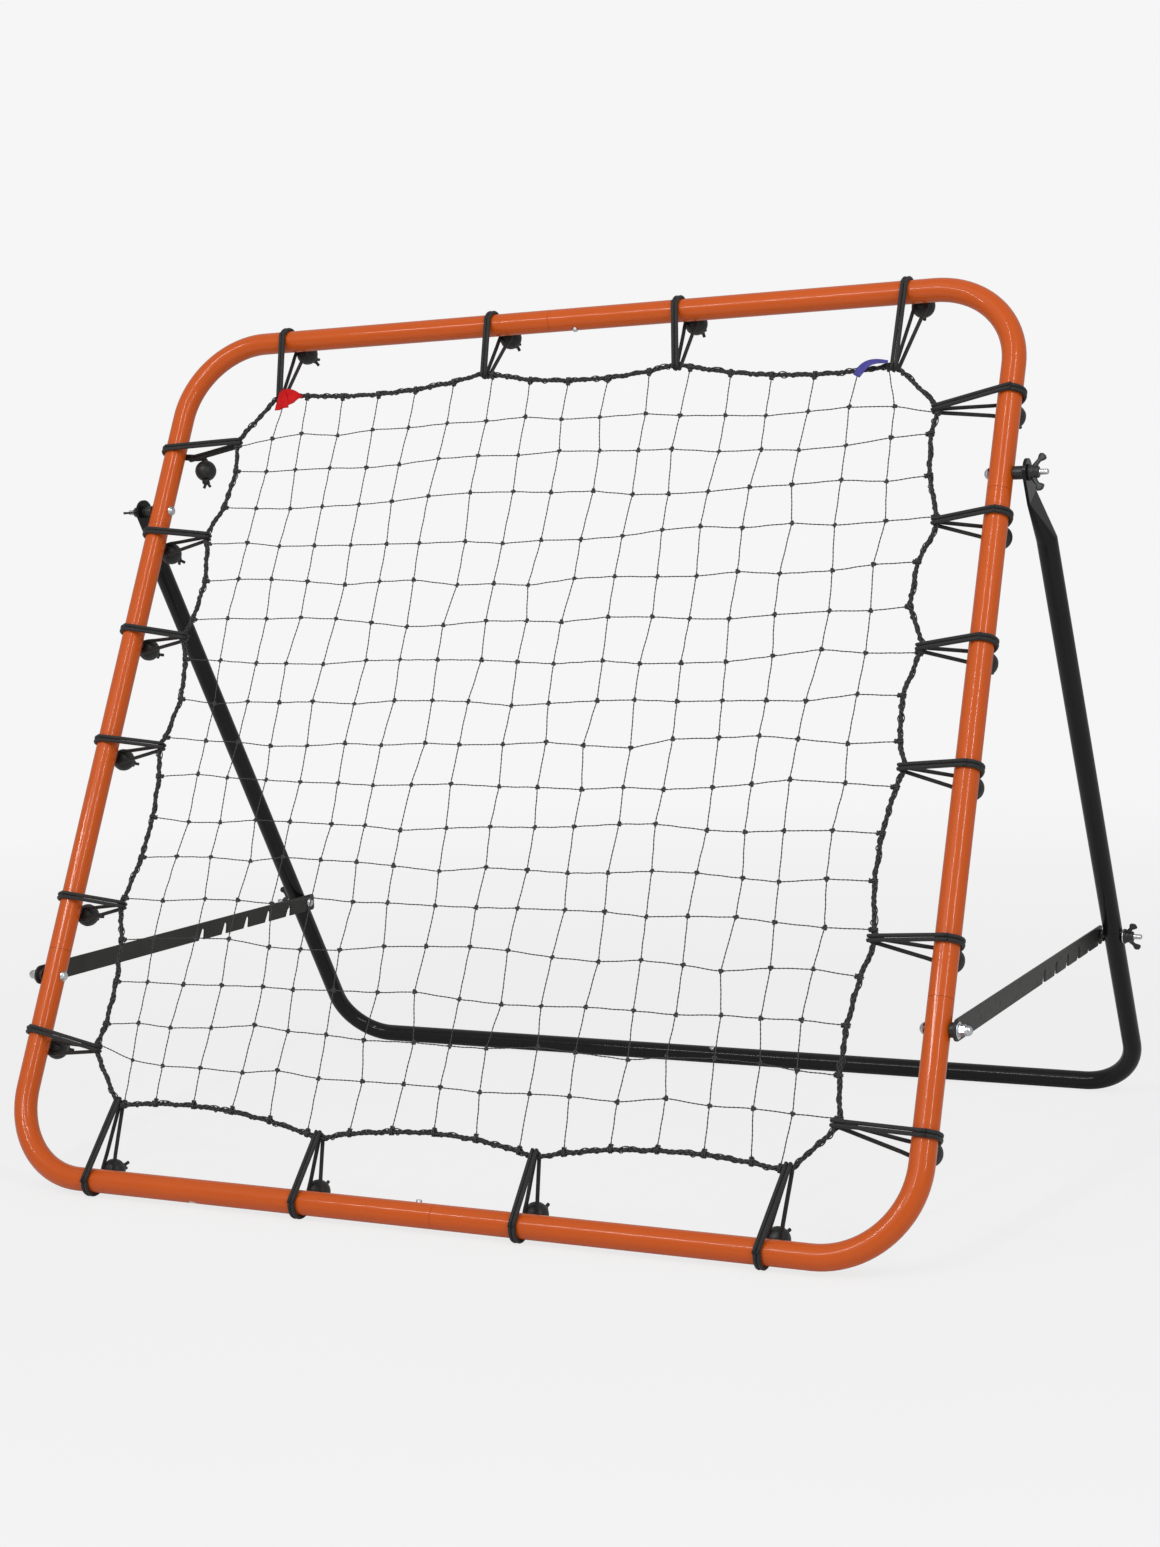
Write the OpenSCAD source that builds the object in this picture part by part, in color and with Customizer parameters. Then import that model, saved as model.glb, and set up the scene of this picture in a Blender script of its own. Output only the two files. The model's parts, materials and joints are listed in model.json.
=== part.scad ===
// Ball rebounder: a leaning tube frame with a net hung in bungee ties, and a folding rear stand.
// X runs across, +Y points to the rear and +Z points up.
// The origin is on the ground under the middle of the whole object.

/* [Frame] */
// Width of the frame over its tubes
frame_w = 1000; // [980:1:1020]
// Height of the frame over its tubes, along its slope
frame_h = 990; // [980:1:1010]
// Diameter of the frame tube
frame_tube_d = 24; // [23.8:0.1:24]
// Wall of the frame tube
frame_wall = 1.2; // [1.0:0.1:1.4]
// Bend radius of the frame corners, to the tube's axis
frame_bend = 90; // [80:1:95]
// Lean of the frame from upright
tilt = 26; // [24:0.5:28]

/* [Stand] */
// Diameter of the stand tube
stand_tube_d = 20.5; // [20:0.1:20.5]
// Wall of the stand tube
stand_wall = 1.1; // [1.0:0.1:1.2]
// Distance from the frame pivot to the stand's crossbar
stand_len = 799; // [790:1:808]
// Bend radius of the stand corners, to the tube's axis
stand_bend = 62; // [55:1:65]
// Gap across the width between the frame tube and a stand leg
side_gap = 11.25; // [11.25:0.05:12]

/* [Pivots] */
// Height of the stand pivot along the frame, from the bottom tube's axis
pivot_v = 758; // [750:1:765]
// Height of the strut bolt along the frame, from the bottom tube's axis
strut_v = 211; // [205:1:216]
// Distance from the frame pivot to the bolt that the struts hook onto
leg_bolt_s = 578.5; // [576:0.5:581]

/* [Struts] */
// Width of the strut bar
strut_w = 20; // [19:0.5:20]
// Thickness of the strut bar
strut_t = 2.2; // [2.0:0.1:2.2]
// Number of hook notches in a strut
notches = 6; // [3:1:7]
// Distance between two notches
notch_pitch = 47; // [44:1:50]

/* [Hardware] */
// Diameter of every bolt
bolt_d = 6; // [5.9:0.05:6]
// Tip to tip width of a wing nut
wing_span = 36; // [34:1:38]
// Diameter of a bungee ball
ball_d = 24.6; // [23:0.1:25]

/* [Net] */
// Thickness of a bungee cord
cord_d = 4; // [3.5:0.1:4]
// Thickness of the rope around the net
rope_d = 6; // [5:0.1:6]
// Depth of the scallop between two ties
scallop = 15; // [10:1:18]
// Thickness of the net, knots left out
net_t = 1.5; // [1:0.1:2]

/* [Hidden] */

$fn = 48;
round_fn = 96;
hull_fn = 32;

orange = [0.80, 0.35, 0.12];
black = [0.13, 0.13, 0.14];
charcoal = [0.22, 0.22, 0.21];
zinc = [0.72, 0.73, 0.74];
spring_steel = [0.55, 0.56, 0.58];
cord_black = [0.10, 0.10, 0.10];
net_grey = [0.25, 0.25, 0.25];
nylon = [0.88, 0.88, 0.85];

// Frame tubes
frame_r = frame_tube_d / 2;
frame_x = frame_w / 2 - frame_r;
frame_top = frame_h - frame_tube_d;
fit_gap = 0.1;
loop_gap = 0.2;
seam_gap = 0.3;
tuck_len = 55;
upper_seam_v = pivot_v - 19;
lower_seam_v = strut_v + 28;
top_seam_x = -30;
bottom_seam_x = 20;
bend_x = frame_x - frame_bend;
top_side_len = frame_top - frame_bend - upper_seam_v - seam_gap;
bottom_side_len = lower_seam_v - frame_bend - seam_gap;

// Stand tubes
stand_r = stand_tube_d / 2;
stand_x = frame_w / 2 + side_gap + stand_r;
leg_seam_s = leg_bolt_s - 11.5;
crossbar_seam_x = 25;
leg_plate_t = 3;
leg_plate_r = 13.5;
leg_plate_len = 28;
leg_flare_len = 47;

// Bolts and what sits on them, as distances from the object's middle
bolt_r = bolt_d / 2;
hole_r = bolt_r + 0.08;
thread_r = bolt_r - 0.25;
head_h = 4.4;
head_r = 5.75;
inner_face_x = frame_x - frame_r - 0.05;
outer_face_x = frame_w / 2 + fit_gap;
plate_x = stand_x - stand_r + 0.75;
spacer_r = 6.5;
bush_r = 7;
bush_len = 4.4;
strut_x = outer_face_x + bush_len + fit_gap;
washer_t = 1.2;
washer_r = 8;
washer_x = strut_x + strut_t + fit_gap;
dome_nut_x = washer_x + washer_t + fit_gap;
dome_nut_af = 10;
dome_nut_hex_h = 5.5;
dome_nut_h = 12;
dome_nut_dome_r = 4.75;
strut_bolt_end_x = dome_nut_x + 8.5;
pivot_nut_x = plate_x + leg_plate_t + 0.2;
leg_head_x = strut_x - 0.2;
leg_head_h = 3.8;
leg_bush_x = strut_x + strut_t + 0.2;
leg_bush_len = stand_x - stand_r - 0.1 - leg_bush_x;
leg_washer_x = stand_x + stand_r + 0.1;
leg_nut_x = leg_washer_x + washer_t + fit_gap;
wing_hub_h = 10;
left_pivot_nut_turn = 62;
right_pivot_nut_turn = 5;
left_leg_nut_turn = 35;
right_leg_nut_turn = 4;
thread_free = 8;
thread_tip = 1;

// The frame rests on the tie bands under its bottom tube, and the stand on its crossbar
rest_r = frame_r + loop_gap + cord_d;
pivot_z = rest_r + pivot_v * cos(tilt);
splay = acos((pivot_z - stand_r) / stand_len);
stand_angle = tilt + splay;
rear_y = pivot_v * sin(tilt) + stand_len * sin(splay) + stand_r;
mid_y = (rear_y - rest_r) / 2;

// Where the leg bolt stands, seen from the strut bolt
leg_bolt_n = leg_bolt_s * sin(stand_angle);
leg_bolt_rise = pivot_v - leg_bolt_s * cos(stand_angle) - strut_v;
strut_reach = norm([leg_bolt_n, leg_bolt_rise]);
strut_angle = atan2(leg_bolt_rise, leg_bolt_n);
notch_r = bolt_r + 0.2;
notch_front_slope = 32;
notch_rear_slope = 12;
strut_tip = 10;
strut_tip_corner = 4;

// Snap buttons
button_r = bolt_r;
button_proud = 2.6;
button_flange_r = 4;
button_flange_h = 1.3;
frame_button_base = 5.2;
stand_button_base = 4.9;
leaf_half_w = 4;
stand_leaf_size = 0.8;

// Drain plugs
plug_r = 4.7;
plug_depth = 3;
frame_plug_x = -253;
stand_plug_x = -296;

// Net and its bungee ties
rope_r = rope_d / 2;
ball_r = ball_d / 2;
loop_in = frame_r + loop_gap;
loop_out = loop_in + cord_d;
loop_w = 2 * cord_d;
loop_end_r = 4.5;
loop_eye_r = 0.6;
corner_scallop = 6;
net_gap = 1;
ball_n = loop_out + ball_r + 0.1;
side_ball_in = 3;
side_ball_along = -10;
loose_ball_in = 25;
top_ball_along = 8;
bottom_ball_in = 16;
bottom_ball_along = 2;

// One entry a tie: place of its band along the tube, place of its knot along the tube,
// distance from the tube's axis in to the knot
top_ties = [[-366, -360, 66], [-102, -100, 58], [120, 127, 64], [370, 367, 82]];
bottom_ties = [[-380, -369, 79], [-132, -124, 64], [109, 114, 65], [352, 366, 74]];
left_ties = [
    [832, 840, 81], [728, 724, 67], [609, 602, 67],
    [477, 473, 69], [297, 292, 65], [149, 136, 75]
];
right_ties = [
    [844, 832, 70], [714, 709, 56], [583, 578, 56],
    [458, 457, 59], [292, 291, 67], [115, 119, 79]
];

// Knots of the border rope in order around the net, starting at the bottom left
knots = concat(
    [for (i = [len(left_ties) - 1:-1:0]) [left_ties[i][2] - frame_x, left_ties[i][1]]],
    [for (t = top_ties) [t[1], frame_top - t[2]]],
    [for (t = right_ties) [frame_x - t[2], t[1]]],
    [for (i = [len(bottom_ties) - 1:-1:0]) [bottom_ties[i][1], bottom_ties[i][2]]]
);

// ---- Places ----

// The frame's own plane: x across, y square to it and rearward, z up the slope
module lean() {
    translate([0, -mid_y, rest_r]) rotate([-tilt, 0, 0]) children();
}

// The stand's plane: the pivot is at the origin and the legs run along -z
module on_stand() {
    lean() translate([0, 0, pivot_v]) rotate([stand_angle, 0, 0]) children();
}

// A strut's plane: the strut bolt is at the origin and the bar runs along +y
module on_strut() {
    lean() translate([0, 0, strut_v]) rotate([strut_angle, 0, 0]) children();
}

// Points a piece that is drawn along +z outward, to the left (-1) or to the right (1)
module outward(side, x) {
    translate([side * x, 0, 0]) rotate([0, side * 90, 0]) children();
}

// The same piece at the left and at the right
module both_sides(x) {
    for (side = [-1, 1]) outward(side, x) children();
}

// ---- Shared shapes ----

// Straight tube from z = 0 up
module tube_run(length, r, wall) {
    rotate_extrude($fn = round_fn) translate([r - wall, 0]) square([wall, length]);
}

// Straight tube whose top end is drawn down to slip into the next tube
module plug_run(length, r, wall) {
    tuck_r = r - wall - fit_gap;
    rotate_extrude($fn = round_fn)
        polygon([
            [r - wall, 0],
            [r, 0],
            [r, length],
            [tuck_r, length],
            [tuck_r, length + tuck_len],
            [tuck_r - wall, length + tuck_len],
            [tuck_r - wall, length - wall],
            [r - wall, length - 2 * wall]
        ]);
}

// Quarter bend from the +x side to the +z side, about the origin
module tube_bend(bend, r, wall) {
    rotate([90, 0, 0])
        rotate_extrude(angle = 90, $fn = round_fn)
            translate([bend, 0])
                difference() {
                    circle(r);
                    circle(r - wall);
                }
}

// Cylinder across the whole width at one side, for a bolt's holes
module side_hole(side, x, r) {
    outward(side, x) translate([0, 0, -30]) cylinder(h = 60, r = r);
}

// Ring with a flat face at z = 0
module ring(h, r, bore) {
    rotate_extrude() translate([bore, 0]) square([r - bore, h]);
}

// Low dome of radius r and height h on the plane z = 0
module dome(r, h) {
    sphere_r = (r * r + h * h) / (2 * h);
    rotate_extrude()
        intersection() {
            translate([0, h - sphere_r]) circle(sphere_r, $fn = round_fn);
            square([r, h]);
        }
}

// Bolt with its head below z = 0, and a free threaded end beyond the nut
module stud_bolt(plain, head, free) {
    mirror([0, 0, 1]) dome(head_r, head);
    cylinder(h = plain, r = bolt_r);
    translate([0, 0, plain]) cylinder(h = free, r = thread_r);
    translate([0, 0, plain + free]) cylinder(h = thread_tip, r1 = thread_r, r2 = thread_r - thread_tip);
}

// Wing nut seated on z = 0
module wing_nut() {
    lobe_r = 6.2;
    lobe_z = 10.5;
    wing_t = 3;
    difference() {
        union() {
            cylinder(h = 2, r = 8);
            cylinder(h = wing_hub_h, r1 = 7, r2 = 5.4);
            for (turn = [0, 180])
                rotate([90, 0, turn])
                    linear_extrude(height = wing_t, center = true) {
                        translate([wing_span / 2 - lobe_r, lobe_z]) circle(lobe_r);
                        polygon([[3.6, 1.2], [7.4, 1.2], [wing_span / 2 - 1.2, 6.6], [9, 15.4], [3.6, 8.6]]);
                    }
        }
        translate([0, 0, -1]) cylinder(h = 30, r = hole_r);
    }
}

// ---- Frame tubes ----

// Corner of the frame with its side run, up to a seam in the side
module frame_corner(side_len) {
    translate([frame_x - frame_bend, 0, 0]) tube_bend(frame_bend, frame_r, frame_wall);
    translate([frame_x, 0, -side_len]) tube_run(side_len, frame_r, frame_wall);
}

// Run of the frame tube from the bend at x = +, towards -x
module frame_run_open(length) {
    translate([frame_x - frame_bend, 0, frame_bend])
        rotate([0, -90, 0]) tube_run(length, frame_r, frame_wall);
}

module frame_run_plug(length) {
    translate([frame_x - frame_bend, 0, frame_bend])
        rotate([0, -90, 0]) plug_run(length, frame_r, frame_wall);
}

module top_left_corner_tube() {
    color(orange)
        lean()
            difference() {
                translate([0, 0, frame_top - frame_bend])
                    mirror([1, 0, 0]) {
                        frame_corner(top_side_len);
                        frame_run_plug(bend_x + top_seam_x);
                    }
                translate([0, 0, pivot_v]) side_hole(-1, frame_x, hole_r);
                translate([0, 0, frame_top - frame_r]) cylinder(h = frame_r, r = hole_r);
            }
}

module top_right_corner_tube() {
    color(orange)
        lean()
            difference() {
                translate([0, 0, frame_top - frame_bend]) {
                    frame_corner(top_side_len);
                    frame_run_open(bend_x - top_seam_x - seam_gap);
                }
                translate([0, 0, pivot_v]) side_hole(1, frame_x, hole_r);
                translate([0, 0, frame_top - frame_r - 1]) cylinder(h = frame_r, r = hole_r);
            }
}

module bottom_left_corner_tube() {
    color(orange)
        lean()
            difference() {
                translate([0, 0, frame_bend])
                    rotate([0, 180, 0]) {
                        frame_corner(bottom_side_len);
                        frame_run_open(bend_x + bottom_seam_x - seam_gap);
                    }
                translate([0, 0, strut_v]) side_hole(-1, frame_x, hole_r);
                translate([0, 0, 1]) cylinder(h = frame_r, r = hole_r);
                translate([frame_plug_x, 0, -frame_r - 1]) cylinder(h = frame_r, r = plug_r + fit_gap);
            }
}

module bottom_right_corner_tube() {
    color(orange)
        lean()
            difference() {
                translate([0, 0, frame_bend])
                    mirror([0, 0, 1]) {
                        frame_corner(bottom_side_len);
                        frame_run_plug(bend_x - bottom_seam_x);
                    }
                translate([0, 0, strut_v]) side_hole(1, frame_x, hole_r);
                cylinder(h = frame_r, r = hole_r);
            }
}

// Straight side tube, drawn down at both ends into the corner tubes
module side_tube(side) {
    mid_v = (upper_seam_v + lower_seam_v) / 2;
    half = (upper_seam_v - lower_seam_v) / 2;
    color(orange)
        lean()
            difference() {
                translate([side * frame_x, 0, mid_v]) {
                    plug_run(half, frame_r, frame_wall);
                    mirror([0, 0, 1]) plug_run(half, frame_r, frame_wall);
                }
                translate([0, 0, pivot_v]) side_hole(side, frame_x, hole_r);
                translate([0, 0, strut_v]) side_hole(side, frame_x, hole_r);
            }
}

module left_side_tube() {
    side_tube(-1);
}

module right_side_tube() {
    side_tube(1);
}

// Push-in plug, flush with a tube that runs along x; z = 0 is the tube's axis
module drain_plug(tube_r) {
    color(nylon)
        intersection() {
            translate([0, 0, tube_r - plug_depth]) cylinder(h = 2 * plug_depth, r = plug_r);
            rotate([0, 90, 0]) cylinder(h = 4 * plug_r, r = tube_r, center = true, $fn = round_fn);
        }
}

module frame_drain_plug() {
    lean() translate([frame_plug_x, 0, 0]) rotate([180, 0, 0]) drain_plug(frame_r);
}

// ---- Snap buttons that lock the middle joints ----

// Button drawn along +z from the tube's axis
module snap_button(tube_r, base) {
    crown = 0.8;
    color(zinc) {
        translate([0, 0, base]) cylinder(h = button_flange_h, r = button_flange_r);
        translate([0, 0, base]) cylinder(h = tube_r + button_proud - crown - base, r = button_r);
        translate([0, 0, tube_r + button_proud - crown]) cylinder(h = crown, r1 = button_r, r2 = button_r - crown);
    }
}

// Leaf spring inside the joint, bent double, drawn as pressed by the button above it
module leaf_spring(size) {
    color(spring_steel)
        scale(size)
            rotate([90, 0, 0])
                linear_extrude(height = 2 * leaf_half_w, center = true)
                    polygon([
                        [-6, 0.9],
                        [28.6, 0.9],
                        [28.6, 0.2],
                        [-22, -7.7],
                        [-22, -7.1],
                        [26, 0.3],
                        [-6, 0.3]
                    ]);
}

module top_snap_button() {
    lean() translate([0, 0, frame_top]) rotate([180, 0, 0]) snap_button(frame_r, frame_button_base);
}

module bottom_snap_button() {
    lean() snap_button(frame_r, frame_button_base);
}

module frame_button_springs() {
    lean() {
        translate([0, 0, frame_top]) rotate([0, 180, 0]) leaf_spring(1);
        leaf_spring(1);
    }
}

module stand_snap_button() {
    on_stand() translate([0, 0, -stand_len]) snap_button(stand_r, stand_button_base);
}

module stand_button_spring() {
    on_stand() translate([0, 0, -stand_len]) leaf_spring(stand_leaf_size);
}

// ---- Stand pivots ----

module pivot_bolts() {
    plain = pivot_nut_x + wing_hub_h - inner_face_x;
    color(zinc)
        lean() translate([0, 0, pivot_v]) both_sides(inner_face_x) stud_bolt(plain, head_h, thread_free);
}

module pivot_spacers() {
    color(black)
        lean()
            translate([0, 0, pivot_v])
                both_sides(outer_face_x) ring(plate_x - outer_face_x - fit_gap, spacer_r, hole_r);
}

module pivot_wing_nut(side, turn) {
    color(black)
        lean() translate([0, 0, pivot_v]) outward(side, pivot_nut_x) rotate([0, 0, turn]) wing_nut();
}

module left_pivot_wing_nut() {
    pivot_wing_nut(-1, left_pivot_nut_turn);
}

module right_pivot_wing_nut() {
    pivot_wing_nut(1, right_pivot_nut_turn);
}

// ---- Strut bolts ----

module strut_bolts() {
    shank = strut_bolt_end_x - inner_face_x;
    color(zinc)
        lean()
            translate([0, 0, strut_v])
                both_sides(inner_face_x) {
                    mirror([0, 0, 1]) dome(head_r, head_h);
                    cylinder(h = shank, r = bolt_r);
                }
}

module strut_bushes() {
    color(black)
        lean() translate([0, 0, strut_v]) both_sides(outer_face_x) ring(bush_len, bush_r, hole_r);
}

module strut_washers() {
    color(zinc)
        lean() translate([0, 0, strut_v]) both_sides(washer_x) ring(washer_t, washer_r, hole_r);
}

// Hexagon nut with a closed dome
module dome_nut() {
    hex_r = dome_nut_af / 2 / cos(30);
    skirt_h = dome_nut_h - dome_nut_dome_r;
    difference() {
        union() {
            cylinder(h = dome_nut_hex_h, r = hex_r, $fn = 6);
            cylinder(h = skirt_h, r = dome_nut_dome_r);
            translate([0, 0, skirt_h]) dome(dome_nut_dome_r, dome_nut_dome_r);
        }
        translate([0, 0, -1]) cylinder(h = 10, r = hole_r);
    }
}

module strut_dome_nuts() {
    color(zinc) lean() translate([0, 0, strut_v]) both_sides(dome_nut_x) dome_nut();
}

// ---- Struts ----

// One notch: a round seat at the bar's middle that opens through the lower edge, towards the bolt
module notch() {
    reach = strut_w / 2 + 1;
    front = [-notch_r * cos(notch_front_slope), notch_r * sin(notch_front_slope)];
    rear = [notch_r * cos(notch_rear_slope), -notch_r * sin(notch_rear_slope)];
    circle(notch_r);
    polygon([
        front,
        [front[0] - (reach + front[1]) * tan(notch_front_slope), -reach],
        [rear[0] - (reach + rear[1]) * tan(notch_rear_slope), -reach],
        rear
    ]);
}

// Flat outline of a strut: x along the bar from the strut bolt, y across it
module strut_outline() {
    half = strut_w / 2;
    end = strut_reach + strut_tip;
    difference() {
        union() {
            circle(half, $fn = round_fn);
            translate([0, -half]) square([end - strut_tip_corner, strut_w]);
            translate([0, strut_tip_corner - half]) square([end, strut_w - 2 * strut_tip_corner]);
            for (y = [strut_tip_corner - half, half - strut_tip_corner])
                translate([end - strut_tip_corner, y]) circle(strut_tip_corner);
        }
        circle(hole_r);
        for (i = [0:notches - 1])
            translate([strut_reach - i * notch_pitch, 0]) notch();
    }
}

module strut(side) {
    color(charcoal)
        on_strut()
            translate([side * (strut_x + strut_t / 2), 0, 0])
                rotate([90, 0, 90])
                    linear_extrude(height = strut_t, center = true) strut_outline();
}

module left_strut() {
    strut(-1);
}

module right_strut() {
    strut(1);
}

// ---- Stand ----

// Upper leg: flattened and drilled at the pivot, round below, drawn down into the base tube
module stand_leg(side) {
    flat_end = leg_plate_len;
    round_start = leg_plate_len + leg_flare_len;
    plate_mid = plate_x + leg_plate_t / 2 - stand_x;
    color(black)
        on_stand()
            difference() {
                mirror([side < 0 ? 1 : 0, 0, 0])
                    translate([stand_x, 0, 0]) {
                        translate([plate_mid, 0, 0])
                            rotate([0, 90, 0])
                                cylinder(h = leg_plate_t, r = leg_plate_r, center = true, $fn = round_fn);
                        translate([plate_mid - leg_plate_t / 2, -leg_plate_r, -flat_end])
                            cube([leg_plate_t, 2 * leg_plate_r, flat_end]);
                        hull() {
                            translate([plate_mid - leg_plate_t / 2, -leg_plate_r, -flat_end])
                                cube([leg_plate_t, 2 * leg_plate_r, 1]);
                            translate([0, 0, -round_start]) cylinder(h = 1, r = stand_r, $fn = hull_fn);
                        }
                        translate([0, 0, -round_start])
                            mirror([0, 0, 1]) plug_run(leg_seam_s - round_start, stand_r, stand_wall);
                    }
                side_hole(side, stand_x, hole_r);
                translate([0, 0, -leg_bolt_s]) side_hole(side, stand_x, hole_r);
            }
}

module left_stand_leg() {
    stand_leg(-1);
}

module right_stand_leg() {
    stand_leg(1);
}

// Corner of the stand, drawn for the right side, with its run up to the leg seam
module stand_corner() {
    run = stand_len - stand_bend - leg_seam_s - seam_gap;
    translate([0, 0, stand_bend - stand_len]) {
        translate([stand_x - stand_bend, 0, 0]) mirror([0, 0, 1]) tube_bend(stand_bend, stand_r, stand_wall);
        translate([stand_x, 0, 0]) tube_run(run, stand_r, stand_wall);
    }
}

module left_stand_base() {
    run = stand_x - stand_bend + crossbar_seam_x - seam_gap;
    color(black)
        on_stand()
            difference() {
                union() {
                    mirror([1, 0, 0]) stand_corner();
                    translate([stand_bend - stand_x, 0, -stand_len])
                        rotate([0, 90, 0]) tube_run(run, stand_r, stand_wall);
                }
                translate([0, 0, -leg_bolt_s]) side_hole(-1, stand_x, hole_r);
                translate([0, 0, 1 - stand_len]) cylinder(h = stand_r, r = hole_r);
                translate([stand_plug_x, 0, -stand_len - stand_r - 1]) cylinder(h = stand_r, r = plug_r + fit_gap);
            }
}

module right_stand_base() {
    run = stand_x - stand_bend - crossbar_seam_x;
    color(black)
        on_stand()
            difference() {
                union() {
                    stand_corner();
                    translate([stand_x - stand_bend, 0, -stand_len])
                        rotate([0, -90, 0]) plug_run(run, stand_r, stand_wall);
                }
                translate([0, 0, -leg_bolt_s]) side_hole(1, stand_x, hole_r);
                translate([0, 0, -stand_len]) cylinder(h = stand_r, r = hole_r);
            }
}

module stand_drain_plug() {
    on_stand() translate([stand_plug_x, 0, -stand_len]) rotate([180, 0, 0]) drain_plug(stand_r);
}

// ---- Leg bolts that the struts hook onto ----

module leg_bolts() {
    plain = leg_nut_x + wing_hub_h - leg_head_x;
    color(zinc)
        on_stand()
            translate([0, 0, -leg_bolt_s]) both_sides(leg_head_x) stud_bolt(plain, leg_head_h, thread_free);
}

module leg_bolt_bushes() {
    color(black)
        on_stand() translate([0, 0, -leg_bolt_s]) both_sides(leg_bush_x) ring(leg_bush_len, spacer_r, hole_r);
}

module leg_bolt_washers() {
    color(zinc)
        on_stand() translate([0, 0, -leg_bolt_s]) both_sides(leg_washer_x) ring(washer_t, washer_r, hole_r);
}

module leg_wing_nut(side, turn) {
    color(black)
        on_stand()
            translate([0, 0, -leg_bolt_s]) outward(side, leg_nut_x) rotate([0, 0, turn]) wing_nut();
}

module left_leg_wing_nut() {
    leg_wing_nut(-1, left_leg_nut_turn);
}

module right_leg_wing_nut() {
    leg_wing_nut(1, right_leg_nut_turn);
}

// ---- Net ----

function arc_radius(chord, sag) = (chord * chord / 4 + sag * sag) / (2 * sag);

function is_corner(a, b) = norm(b - a) < 100;

function sag_of(a, b) = is_corner(a, b) ? corner_scallop : scallop;

// Centre of the scallop arc between two knots, outside the net
function arc_centre(a, b) =
    let (chord = norm(b - a), sag = sag_of(a, b), out = [a[1] - b[1], b[0] - a[0]] / chord)
    (a + b) / 2 + out * (arc_radius(chord, sag) - sag);

// Area inside the rope: the outline through the knots, cut back by each scallop grown by a margin
module scalloped(margin) {
    difference() {
        polygon(knots);
        for (i = [0:len(knots) - 1]) {
            a = knots[i];
            b = knots[(i + 1) % len(knots)];
            r = arc_radius(norm(b - a), sag_of(a, b));
            translate(arc_centre(a, b)) circle(r + margin, $fn = round_fn);
        }
    }
}

// Lays a shape drawn in x and y onto the frame plane
module in_frame_plane() {
    lean() rotate([90, 0, 0]) children();
}

module border_rope() {
    color(cord_black)
        in_frame_plane()
            linear_extrude(height = rope_d, center = true)
                difference() {
                    scalloped(-rope_r);
                    scalloped(rope_r);
                }
}

module net_panel() {
    color(net_grey)
        in_frame_plane() linear_extrude(height = net_t, center = true) scalloped(rope_r + net_gap);
}

// ---- Bungee ties ----

// Points of an arc about [cx, 0]
function arc_points(r, from, to, steps, cx = 0) =
    [for (i = [0:steps]) let (a = from + (to - from) * i / steps) [cx + r * cos(a), r * sin(a)]];

// Outline from the x = 0 line around a small circle at [d, 0], as a stretched loop leaves its tube
function strap_points(r1, r2, d) =
    let (a = acos((r1 - r2) / d))
    concat(arc_points(r1, 90, a, 2), arc_points(r2, a, -a, 10, d), arc_points(r1, -a, -90, 2));

// Doubled cord around a tube that runs along z, reaching along +x towards the knot
module bungee_loop(inset, slip) {
    d = inset - rope_r - loop_gap - loop_end_r;
    overlap = 1;
    outer_start = acos(overlap / loop_out);
    inner_start = acos(overlap / loop_in);
    linear_extrude(height = loop_w, center = true)
        polygon(concat(
            arc_points(loop_out, outer_start, 360 - outer_start, 36),
            arc_points(loop_in, 360 - inner_start, inner_start, 36)
        ));
    rotate([0, -atan2(slip, inset), 0])
        linear_extrude(height = loop_w, center = true)
            difference() {
                polygon(strap_points(loop_out, loop_end_r, d));
                polygon(strap_points(loop_in, loop_eye_r, d));
                translate([-1, -loop_in]) square([2, 2 * loop_in]);
            }
}

// Places of the four tubes, each with the tube along z and the net towards +x
module at_left(v) {
    lean() translate([-frame_x, 0, v]) children();
}

module at_right(v) {
    lean() translate([frame_x, 0, v]) mirror([1, 0, 0]) children();
}

module at_top(x) {
    lean() translate([x, 0, frame_top]) rotate([0, 90, 0]) children();
}

module at_bottom(x) {
    lean() translate([x, 0, 0]) mirror([0, 0, 1]) rotate([0, 90, 0]) children();
}

module left_bungee_cords() {
    color(cord_black) for (t = left_ties) at_left(t[0]) bungee_loop(t[2], t[1] - t[0]);
}

module right_bungee_cords() {
    color(cord_black) for (t = right_ties) at_right(t[0]) bungee_loop(t[2], t[1] - t[0]);
}

module top_bungee_cords() {
    color(cord_black) for (t = top_ties) at_top(t[0]) bungee_loop(t[2], t[1] - t[0]);
}

module bottom_bungee_cords() {
    color(cord_black) for (t = bottom_ties) at_bottom(t[0]) bungee_loop(t[2], t[1] - t[0]);
}

// Ball behind its tie: in towards the net, and along the tube from the band
module bungee_ball(inward, along) {
    color(black) translate([inward, ball_n, along]) sphere(ball_r, $fn = round_fn);
}

// The upper left ball has slipped off the tube and hangs behind the net's edge
module left_bungee_balls() {
    for (i = [0:len(left_ties) - 1])
        at_left(left_ties[i][0]) bungee_ball(i == 0 ? loose_ball_in : side_ball_in, side_ball_along);
}

module right_bungee_balls() {
    for (t = right_ties) at_right(t[0]) bungee_ball(side_ball_in, side_ball_along);
}

module top_bungee_balls() {
    for (t = top_ties) at_top(t[0]) bungee_ball(0, top_ball_along);
}

module bottom_bungee_balls() {
    for (t = bottom_ties) at_bottom(t[0]) bungee_ball(bottom_ball_in, bottom_ball_along);
}

// ---- Sewn tabs in the upper corners of the net ----

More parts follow.
